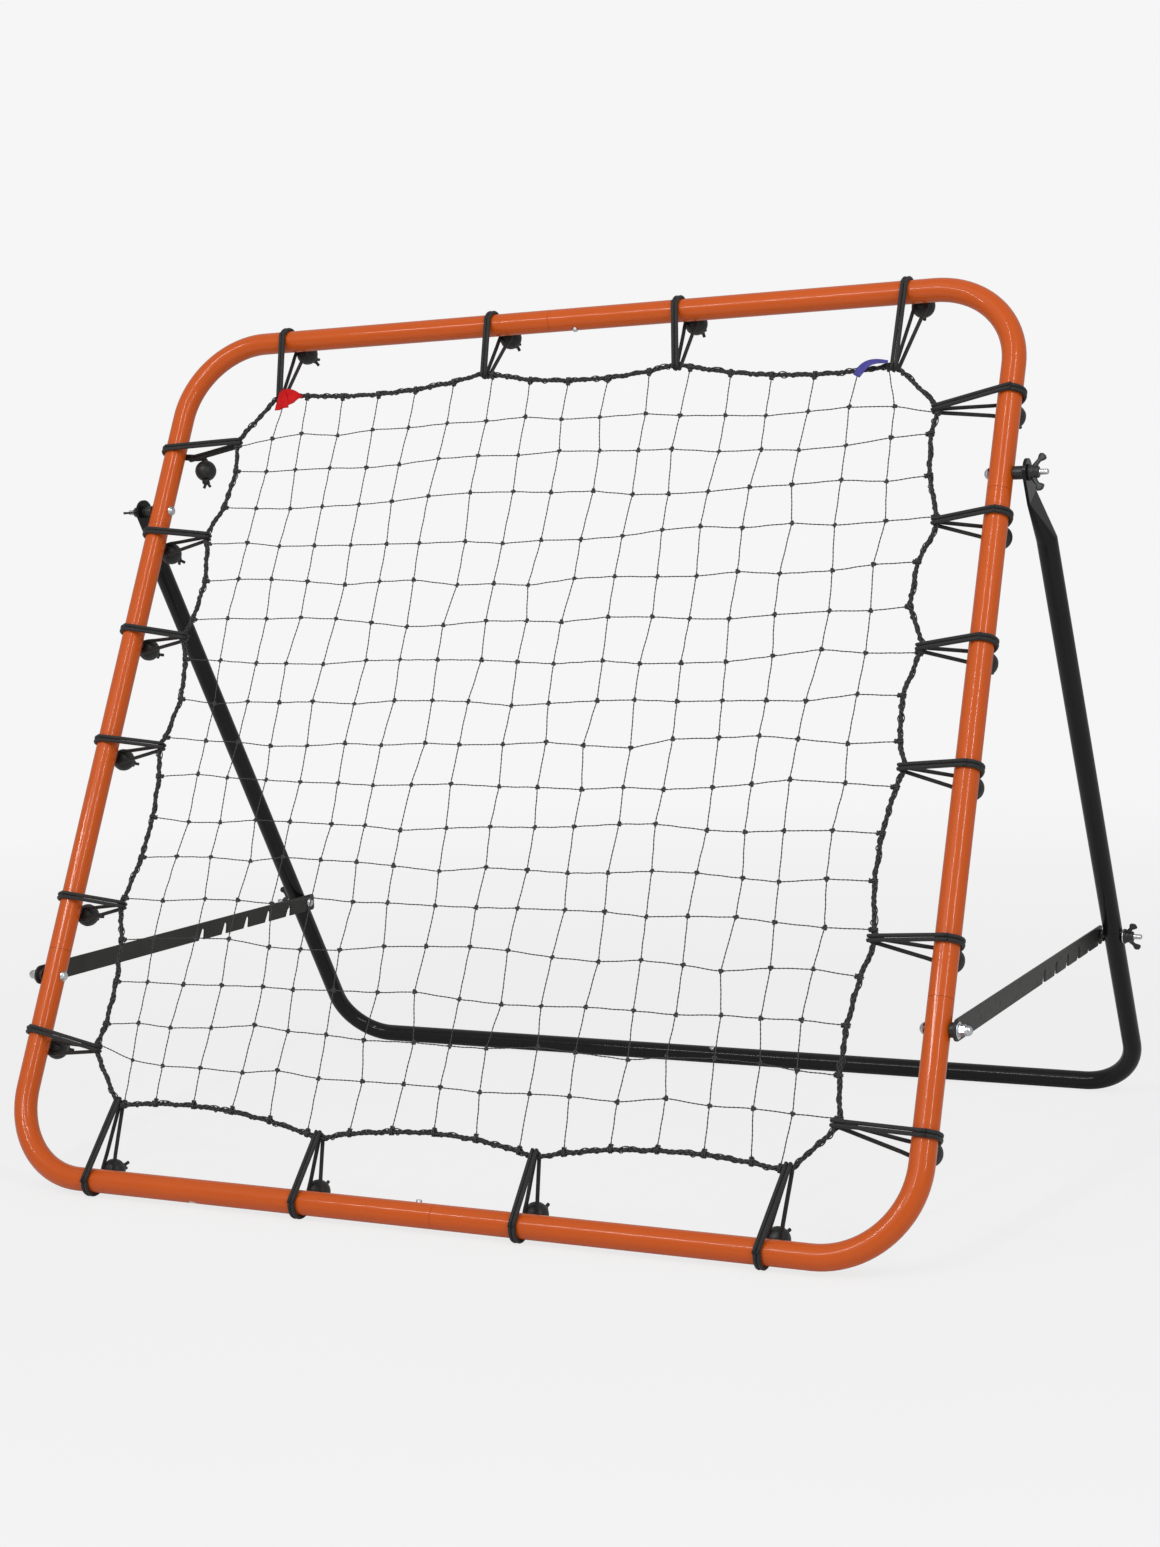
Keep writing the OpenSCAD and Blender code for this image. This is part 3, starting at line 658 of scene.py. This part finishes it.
def net_knots(material):
    """A tight knot at each crossing, each turned its own way."""
    builder = Builder()
    for i in range(1, CELLS):
        for j in range(1, CELLS):
            size = RNG.uniform(2.0, 2.5) * MM
            facing = (RNG.uniform(-0.3, 0.3), 1, RNG.uniform(-0.3, 0.3))
            shape = trefoil(size, KNOT_DEPTH, KNOT_STEPS)
            knot = placed(shape, NET_POINTS[i, j], facing, RNG.uniform(0, 6.28))
            sweep(builder, knot, 0.85 * MM, 6, closed=True)
    return builder.object("net_knots", material, "frame", "net_twine")


def rope_line():
    """The rope's middle line: straight between net ends, with a softened bend at each."""
    corners = np.array([NET_POINTS[key] for key in ROPE_KEYS])
    line = []
    for a, b in zip(corners, np.roll(corners, -1, 0)):
        count = max(2, int(np.linalg.norm(b - a) / ROPE_STEP))
        line.append(a + (b - a) * np.arange(count)[:, None] / count)
    line = np.concatenate(line)
    for _ in range(3):
        line = (np.roll(line, 1, 0) + 2 * line + np.roll(line, -1, 0)) / 4
    return line


ROPE_LINE = rope_line()


def strand_around(line, radius, lay, phase, wobble=0.0):
    """A helix around a closed line, with a whole number of turns. Wobble varies its radius along the way."""
    a, b = carried_frames(line, closed=True)
    run = travelled(np.vstack([line, line[:1]]))
    turns = round(run[-1] / lay)
    angle = 2 * np.pi * turns * run[:-1] / run[-1] + phase
    reach = radius * (1 + wobble * np.sin(run[:-1] / (7.3 * MM)) * np.sin(run[:-1] / (23.1 * MM)))
    return line + reach[:, None] * (a * np.cos(angle)[:, None] + b * np.sin(angle)[:, None])


def edge_rope(material):
    """Three-strand rope around the net."""
    builder = Builder()
    for k in range(3):
        strand = strand_around(ROPE_LINE, 1.15 * MM, 17 * MM, 2 * np.pi * k / 3)
        sweep(builder, strand, 1.25 * MM, 8, closed=True)
    return builder.object("edge_rope", material, "frame", "border_cord", "border_rope")


def edge_lacing(material):
    """Loose twines wound around the rope in the opposite way, as a net's selvedge."""
    builder = Builder()
    for k, lay in enumerate((-24 * MM, -31 * MM)):
        strand = strand_around(ROPE_LINE, 2.75 * MM, lay, 2.4 * k, wobble=0.22)
        sweep(builder, strand, 0.62 * MM, 6, closed=True)
    return builder.object("edge_lacing", material, "frame", "net_twine")


def edge_hitches(material):
    """Where each twine meets the rope: two turns around it and a small knot on the net's side."""
    coil_r, coil_length, coil_turns = 3.1 * MM, 4.2 * MM, 2.5
    knot_size, knot_out = 2.1 * MM, 4.3 * MM
    builder = Builder()
    for key in ROPE_KEYS:
        if isinstance(key[0], str):
            continue
        nearest = int(np.argmin(np.linalg.norm(ROPE_LINE - NET_POINTS[key], axis=1)))
        centre = ROPE_LINE[nearest]
        along = unit(ROPE_LINE[(nearest + 3) % len(ROPE_LINE)] - ROPE_LINE[nearest - 3])
        t = np.linspace(0, 1, 34)
        angle = 2 * np.pi * coil_turns * t + RNG.uniform(0, 6.28)
        coil = np.stack([coil_r * np.cos(angle), coil_r * np.sin(angle), (t - 0.5) * coil_length], -1)
        sweep(builder, placed(coil, centre, along), 0.72 * MM, 6)
        i, j = key
        inner_key = (min(max(i, 1), CELLS - 1), min(max(j, 1), CELLS - 1))
        inward = unit(NET_POINTS[inner_key] - centre)
        shape = trefoil(knot_size, KNOT_DEPTH, KNOT_STEPS)
        knot = placed(shape, centre + inward * knot_out, inward, RNG.uniform(0, 6.28))
        sweep(builder, knot, 0.8 * MM, 6, closed=True)
    return builder.object("edge_hitches", material, "frame", "net_twine")


# ---- Bungee ties ----

BAND_R = TUBE_R + 2.2 * MM
CORD_STEP = 1.6 * MM
HITCH_R = ROPE_R + CORD_R
BESIDE = CORD_R * 1.05   # half the distance between two cords that lie side by side
LOOSE_HOLE = np.array([-0.25, -0.1, 1.0])   # which way a loose ball's cord hole points


def ball_axis(tie):
    """From the ball's middle to its cord hole."""
    if tie["loose"]:
        return unit(LOOSE_HOLE)
    toward = -tie["ball"] * (1, 1, 0)
    toward[2] = RNG.uniform(-6, 6) * MM
    return unit(toward)


def around_tube(start, end, z_start, z_end, steps=14):
    """Arc over the tube's back, outer side and front, from one angle to another; z eases between two."""
    t = np.linspace(0, 1, steps)
    angle = start + (end - start) * t
    ease = np.clip(t * 2.2, 0, 1)
    ease = ease * ease * (3 - 2 * ease)
    return np.stack([BAND_R * np.cos(angle), BAND_R * np.sin(angle), z_start + (z_end - z_start) * ease], -1)


def tie_path(tie):
    """One run of cord: from the ball round the tube's front, round the rope and back behind the tube, then
    round the ball's neck and the same way home beside itself."""
    band, ball, loose = tie["band"], tie["ball"], tie["loose"]
    reach, _, hitch_z = tie["knot"]
    neck = ball + tie["axis"] * (tie["ball_r"] + 0.5 * MM)
    mouth = ball + tie["axis"] * (tie["ball_r"] - 3 * MM)
    leave = 1.5 * np.pi + math.asin((BAND_R - HITCH_R) / reach)
    rise_z = band + (neck[2] - band) * 0.55
    if loose:
        end_x, end_n, end_z, spread = ball[0] * 0.4, BAND_R + 2.5 * MM, band, BESIDE
    else:
        end_x, end_n, end_z, spread = neck[0] + 2 * MM, BAND_R + 4.6 * MM, neck[2], 6.6 * MM
    halves = []
    for s in (-1, 1):
        path = [mouth + (0, 0, s * 1.2 * MM)]
        if loose:
            path.append(neck + (0, 0, 2 * MM))
            path.append(np.array([neck[0] - 6 * MM, BAND_R + 3 * MM, (neck[2] + band) / 2 + s * 2 * MM]))
        path.extend(around_tube(math.radians(84), leave, rise_z + s * 1.6 * MM, band + s * CORD_R * 1.02))
        for a in np.radians([-75, -30, 30, 75]):
            hitch = (reach + HITCH_R * math.cos(a), HITCH_R * math.sin(a), hitch_z + s * BESIDE)
            path.append(np.array(hitch))
        last = path[-1]
        end = np.array([end_x, end_n, end_z + s * spread])
        path.extend(last + (end - last) * share for share in (0.35, 0.7, 1))
        halves.append(path)
    turn = np.array([neck[0] - (10 if loose else 8) * MM, BAND_R + 3.2 * MM, end_z])
    return np.array(halves[0] + [turn] + halves[1][::-1])


def bungee_cords(side, material):
    """The elastic loops on one tube, with the knot and tails of each behind its ball."""
    builder = Builder()
    for tie in TIES[side.name]:
        line = smooth_line(tie_path(tie), CORD_STEP)
        sweep(builder, side.plane(line), CORD_R, 10)
        for strand in tail_knot(tie):
            sweep(builder, side.plane(strand), CORD_R * 0.85, 8)
    cad_node = side.name + "_bungee_cords"
    return builder.object(side.name + "_bungees", material, "frame", "bungee_cord", cad_node)


def tail_knot(tie):
    """The knot that stops both cord ends behind the ball, and its two cut tails."""
    end = tie["ball"] - tie["axis"] * (tie["ball_r"] + 1.6 * MM)
    knot = placed(trefoil(3.4 * MM, 0.8, 36), end, tie["axis"], RNG.uniform(0, 6.28))
    strands = [np.vstack([knot, knot[:1]])]
    for s in (-1, 1):
        splay = placed([(s * 4 * MM, RNG.uniform(-2, 2) * MM, -7 * MM)], (0, 0, 0), tie["axis"])[0]
        tail = np.array([end, end + splay * 0.5, end + splay])
        strands.append(smooth_line(tail, 1.2 * MM))
    return strands


def ball_profile(radius):
    """Half outline of a moulded ball: a rounded cord hole at both poles and a raised parting line."""
    hole, hole_depth, lip = 3.1 * MM, 5 * MM, 0.9 * MM
    parting_line = 0.18 * MM
    start = math.asin((hole + lip) / radius)
    rim = radius * math.cos(start)
    rows = [(hole, rim - hole_depth), (hole, rim - lip)]
    rows += [(hole + lip * (1 - math.cos(a)), rim - lip + lip * math.sin(a)) for a in (0.5, 1.0)]
    count = 22
    for k in range(count + 1):
        a = start + (math.pi / 2 - start) * k / count
        ridge = parting_line if k == count else 0
        rows.append(((radius + ridge) * math.sin(a), radius * math.cos(a)))
    rows += [(r, -z) for r, z in rows[-2::-1]]
    return rows


def bungee_balls(side, material):
    """The balls on one tube, each turned so that its cord hole meets the cord."""
    builder = Builder()
    for tie in TIES[side.name]:
        centre = side.plane(tie["ball"])
        axis = tie["axis"] @ side.axes
        lathe(builder, ball_profile(tie["ball_r"] - 0.2 * MM), centre, axis)
    cad_node = side.name + "_bungee_balls"
    return builder.object(side.name + "_balls", material, "frame", "ball_plastic", cad_node)


# ---- Sewn tabs ----

WEBBING = 0.9 * MM   # the ribbon's thickness

def ribbon(builder, centre_line, widths, facing, thickness, sides_across, ripple):
    """Strip of webbing along a line, closed all round, with its own width and facing at each step."""
    line = np.asarray(centre_line, float)
    tangents = unit(np.gradient(line, axis=0))
    across = unit(np.cross(np.asarray(facing, float), tangents))
    out = np.cross(tangents, across)
    run = travelled(line)
    share = np.linspace(-0.5, 0.5, sides_across)
    wave = ripple * np.sin(share * 9)[None, :] * np.linspace(0.2, 1, len(line))[:, None]
    flat = line[:, None] + across[:, None] * (share[None, :, None] * np.asarray(widths)[:, None, None])
    front = flat + out[:, None] * (wave[..., None] + thickness / 2)
    back = flat + out[:, None] * (wave[..., None] - thickness / 2)
    rings = np.concatenate([front, back[:, ::-1]], 1)
    builder.grid(rings, float(np.mean(widths)) / sides_across, run)


def tab_middle(node):
    low, high = to_plane(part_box(node))
    return (low + high) / 2


def red_tab(material):
    """Folded ribbon gathered under the upper left tie, with its two plies fanned out."""
    builder = Builder()
    t = np.linspace(0, 1, 14)
    top = tab_middle("red_tab") + np.array([-11, -3, 10.5]) * MM
    bow = np.array([2.2, -2.5, 1.5]) * MM * np.sin(np.pi * t)[:, None]
    widths = (5 + 14.5 * t ** 0.8) * MM
    for hang, facing in (((24, -2.0, -14.5), (0.25, -1, 0.1)), ((9, -4.2, -25), (-0.25, -1, 0.1))):
        line = top + np.array(hang) * MM * t[:, None] + bow
        ribbon(builder, line, widths, np.tile(facing, (len(t), 1)), WEBBING, 10, 0.9 * MM)
    return builder.object("red_tab_ribbon", material, "frame", "red_webbing", "red_tab")


def blue_tab(material):
    """Short ribbon that curls away from the rope at the upper right."""
    builder = Builder()
    t = np.linspace(0, 1, 18)
    start = tab_middle("blue_tab") + np.array([14, 0, 7.5]) * MM
    bow = np.array([-3.0, -3, 5.2]) * MM * np.sin(np.pi * t)[:, None]
    line = start + np.array([-29.5, -5, -16.5]) * MM * t[:, None] + bow
    widths = (3.5 + 7.5 * np.sin(np.pi * (0.15 + 0.62 * t))) * MM
    facing = np.stack([0.35 - 0.2 * t, -0.75 * np.ones_like(t), 0.75 - 0.25 * t], -1)
    ribbon(builder, line, widths, facing, WEBBING, 8, 0.3 * MM)
    return builder.object("blue_tab_ribbon", material, "frame", "blue_webbing", "blue_tab")


# ---- Hard parts with a softer shape than the CAD's ----

# How far each nut is screwed round, in degrees
WING_NUT_TURNS = {("left", "pivot"): 62, ("right", "pivot"): 5, ("left", "leg"): 35, ("right", "leg"): 4}


def wing_nut(node, body, material, base_turn):
    """Wing nut: a turned hub with two spooned wings, drawn along +z and seated on the hub's flat face."""
    low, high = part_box(node)
    side = 1 if low.x > 0 else -1
    seat = np.array(joint_place(body))
    seat[0] = low.x if side > 0 else high.x
    builder = Builder()
    hub = [(3.06, 0), (7.9, 0), (8.0, 0.3), (8.0, 1.7), (7.7, 2.1), (7.0, 2.6), (6.3, 5.5), (5.6, 9.3),
           (5.1, 9.9), (4.4, 10), (3.06, 10)]
    lathe(builder, [(r * MM, z * MM) for r, z in hub], (0, 0, 0), (0, 0, 1), 40)
    for s in (-1, 1):
        wing(builder, s, (high.x - low.x) / MM)
    turn = np.array(Matrix.Rotation(base_turn, 3, "Z"))
    axes = np.array([(0, 0, -side), (0, 1, 0), (side, 0, 0)], float)
    lean = np.array(Matrix.Rotation(-slope_angle(body), 3, "X"))
    for k, verts in enumerate(builder.verts):
        builder.verts[k] = (verts @ turn.T @ axes) @ lean.T + seat
    return builder.object(node + "_cast", material, body, "black_nylon", node, in_row=True)


def wing(builder, s, height):
    """One wing, in millimetres: sections along its middle line from the hub out to a round, dished ear."""
    steps, around = 12, 14
    root, tip = 4.2, 17.6
    t = np.linspace(0, 1, steps)
    out = root + (tip - root) * t ** 0.9
    up = 4.6 + 9.2 * t ** 1.25
    wide = np.where(t < 0.55, 6.6 - 2.2 * np.sin(np.pi * t / 1.1), 0) + np.where(
        t >= 0.55, 4.4 + 6.2 * np.sin(np.pi * (t - 0.55) / 0.9), 0)
    wide *= np.sqrt(np.clip(1.0 - ((t - 0.6) / 0.415) ** 4 * (t > 0.6), 0.01, 1))
    thick = 3.0 - 0.7 * np.sin(np.pi * t)
    centre = np.stack([s * out, np.zeros(steps), np.minimum(up, height - 3)], -1) * MM
    tangents = unit(np.gradient(centre, axis=0))
    flat_dir = np.array([0, 1.0, 0])
    wide_dir = np.cross(tangents, flat_dir)
    angle = 2 * np.pi * np.arange(around) / around
    ring_w, ring_t = (np.sign(f) * np.abs(f) ** 0.8 for f in (np.cos(angle), np.sin(angle)))
    rings = (centre[:, None]
             + wide_dir[:, None] * (wide[:, None] / 2 * MM * ring_w)[..., None]
             + flat_dir[None, None] * (thick[:, None] / 2 * MM * ring_t)[..., None])
    builder.grid(rings, 1 / around, travelled(centre))


def joint_place(body):
    """Where the joint that moves a body is."""
    return next(j["pos_m"] for j in frame["joints"] if j["child"] == body)


def slope_angle(body):
    """How far the tube behind a wing nut leans back: the stand's leg, or at the pivot the frame."""
    nut = Vector(joint_place(body)) * Vector((0, 1, 1))
    along = PIVOT - nut if (nut - PIVOT).length > 0.1 else UP_SLOPE
    return math.atan2(along.y, along.z)


def keep_cad(node, slot_name, bevel=0.0):
    """A carried-over CAD node: its own mesh, a proper material, and softened edges."""
    obj = frame["nodes"][node]
    obj.data.materials.clear()
    obj.data.materials.append(MATS[slot_name])
    if bevel:
        weld = obj.modifiers.new("weld", "WELD")   # joins the loaded mesh's split edges for the bevel
        weld.merge_threshold = 1e-6
        soft = obj.modifiers.new("soft_edges", "BEVEL")
        soft.width = bevel
        soft.segments = 2
        soft.limit_method = "ANGLE"
        soft.angle_limit = math.radians(40)


CAD_LOOKS = {
    "orange_paint": ["top_left_corner_tube", "top_right_corner_tube", "left_side_tube", "right_side_tube",
                     "bottom_left_corner_tube", "bottom_right_corner_tube"],
    "black_paint": ["left_stand_leg", "right_stand_leg", "left_stand_base", "right_stand_base"],
    "strut_paint": ["left_strut", "right_strut"],
    "zinc": ["top_snap_button", "bottom_snap_button", "stand_snap_button", "pivot_bolts", "strut_bolts",
             "strut_washers", "strut_dome_nuts", "leg_bolts", "leg_bolt_washers"],
    "spring_steel": ["frame_button_springs", "stand_button_spring"],
    "black_nylon": ["pivot_spacers", "strut_bushes", "leg_bolt_bushes"],
    "pale_nylon": ["frame_drain_plug", "stand_drain_plug"],
}
SOFT_EDGES = {"left_strut": 0.35 * MM, "right_strut": 0.35 * MM, "strut_washers": 0.2 * MM,
              "leg_bolt_washers": 0.2 * MM, "pivot_spacers": 0.3 * MM, "strut_bushes": 0.3 * MM,
              "leg_bolt_bushes": 0.3 * MM, "strut_dome_nuts": 0.25 * MM}


# ---- Studio ----

CAMERA_PLACE = Vector((1.1049, -2.2532, 0.6536))
CAMERA_AZIMUTH = math.radians(25.89)
CAMERA_DROP = math.radians(5.80)
CAMERA_ROLL = math.radians(2.08)
CAMERA_LENS = 54.63


def camera_axes():
    """The camera's right, up and forward directions."""
    a, e = CAMERA_AZIMUTH, CAMERA_DROP
    forward = Vector((-math.sin(a) * math.cos(e), math.cos(a) * math.cos(e), -math.sin(e)))
    level = forward.cross(Vector((0, 0, 1))).normalized()
    upright = level.cross(forward)
    right = level * math.cos(CAMERA_ROLL) - upright * math.sin(CAMERA_ROLL)
    up = upright * math.cos(CAMERA_ROLL) + level * math.sin(CAMERA_ROLL)
    return right, up, forward


def make_camera():
    data = bpy.data.cameras.new("camera")
    data.sensor_fit = "VERTICAL"
    data.sensor_height = 36
    data.lens = CAMERA_LENS
    cam = bpy.data.objects.new("camera", data)
    bpy.context.scene.collection.objects.link(cam)
    right, up, forward = camera_axes()
    cam.matrix_world = Matrix.Translation(CAMERA_PLACE) @ Matrix((right, up, -forward)).transposed().to_4x4()
    bpy.context.scene.camera = cam


STUDIO_WHITE = 0.92         # the backdrop, as the camera sees it
FILL = 0.46                 # the backdrop, as a light
FLOOR_RINGS = (0.5, 1, 2, 4, 14)
FLOOR_SIDES = 96


def camera_rays(nodes):
    return nodes.new("ShaderNodeLightPath").outputs["Is Camera Ray"]


def floor_material():
    """Matt pale floor. To the camera it is lifted to the backdrop's brightness, and wholly so further out."""
    mat, nodes, links, shader = new_material("pale_floor")
    links.new(ramp(nodes, links, noise(nodes, links, 3, 3), [(0.3, grey(0.74)), (0.7, grey(0.76))]),
              shader.inputs["Base Color"])
    shader.inputs["Roughness"].default_value = 0.9
    shader.inputs["Specular IOR Level"].default_value = 0.1
    lifted = nodes.new("ShaderNodeEmission")
    lifted.inputs["Color"].default_value = (*grey(STUDIO_WHITE), 1)
    coords = nodes.new("ShaderNodeTexCoord")
    distance = nodes.new("ShaderNodeVectorMath")
    distance.operation = "LENGTH"
    links.new(coords.outputs["Object"], distance.inputs[0])
    fade = nodes.new("ShaderNodeMapRange")
    fade.inputs["From Min"].default_value = 0.8
    fade.inputs["From Max"].default_value = 3.2
    fade.inputs["To Min"].default_value = 0.84
    links.new(distance.outputs["Value"], fade.inputs["Value"])
    mix = nodes.new("ShaderNodeMixShader")
    links.new(maths(nodes, links, "MULTIPLY", fade.outputs["Result"], camera_rays(nodes)), mix.inputs["Fac"])
    links.new(shader.outputs[0], mix.inputs[1])
    links.new(lifted.outputs[0], mix.inputs[2])
    links.new(mix.outputs[0], nodes["Material Output"].inputs["Surface"])
    return mat


def make_floor():
    """Round pale floor under the object."""
    n = FLOOR_SIDES
    angle = 2 * np.pi * np.arange(n) / n
    points = [(r * math.cos(a), r * math.sin(a), 0) for r in FLOOR_RINGS for a in angle]
    faces = [list(range(n))]
    for k in range(len(FLOOR_RINGS) - 1):
        for i in range(n):
            j = (i + 1) % n
            faces.append([k * n + i, (k + 1) * n + i, (k + 1) * n + j, k * n + j])
    mesh = bpy.data.meshes.new("floor")
    mesh.from_pydata(points, [], faces)
    mesh.materials.append(floor_material())
    floor = bpy.data.objects.new("floor", mesh)
    bpy.context.scene.collection.objects.link(floor)


def soft_box(name, azimuth, elevation, distance, size, watts):
    """Rectangular lamp aimed at the object's middle; azimuth is from the front towards +X."""
    middle = Vector((0, 0, 0.5))
    a, e = math.radians(azimuth), math.radians(elevation)
    toward = Vector((math.sin(a) * math.cos(e), -math.cos(a) * math.cos(e), math.sin(e)))
    data = bpy.data.lights.new(name, "AREA")
    data.shape = "RECTANGLE"
    data.size, data.size_y = size
    data.energy = watts
    lamp = bpy.data.objects.new(name, data)
    lamp.location = middle + toward * distance
    lamp.rotation_mode = "QUATERNION"
    lamp.rotation_quaternion = (-toward).to_track_quat("-Z", "Y")
    bpy.context.scene.collection.objects.link(lamp)


def make_lights():
    """Even backdrop, brighter to the camera than as a light, and three strips that draw the highlights."""
    world = bpy.data.worlds.new("studio")
    world.use_nodes = True
    nodes, links = world.node_tree.nodes, world.node_tree.links
    level = nodes.new("ShaderNodeMapRange")
    level.inputs["To Min"].default_value = FILL
    level.inputs["To Max"].default_value = STUDIO_WHITE
    links.new(camera_rays(nodes), level.inputs["Value"])
    links.new(level.outputs["Result"], nodes["Background"].inputs["Strength"])
    nodes["Background"].inputs["Color"].default_value = (1, 1, 1, 1)
    bpy.context.scene.world = world
    soft_box("strip_front", -2, 42, 3.0, (0.12, 2.2), 22)
    soft_box("strip_right", 55, 32, 3.2, (0.12, 2.4), 26)
    soft_box("strip_top", -22, 31, 3.0, (1.6, 0.11), 16)


def build():
    for slot_name, nodes in CAD_LOOKS.items():
        for node in nodes:
            keep_cad(node, slot_name, SOFT_EDGES.get(node, 0.0))
    for side in SIDES:
        for tie in TIES[side.name]:
            tie["axis"] = ball_axis(tie)
        bungee_cords(side, MATS["bungee_cord"])
        bungee_balls(side, MATS["ball_plastic"])
    net_twines(MATS["net_twine"])
    net_knots(MATS["net_twine"])
    edge_rope(MATS["border_cord"])
    edge_lacing(MATS["net_twine"])
    edge_hitches(MATS["net_twine"])
    red_tab(MATS["red_webbing"])
    blue_tab(MATS["blue_webbing"])
    for (side, place), turn in WING_NUT_TURNS.items():
        wing_nut(f"{side}_{place}_wing_nut", f"{place}_nut_{side}", MATS["black_nylon"], math.radians(turn))


build()
make_floor()
make_lights()
make_camera()
bpy.context.scene.view_settings.view_transform = "Standard"
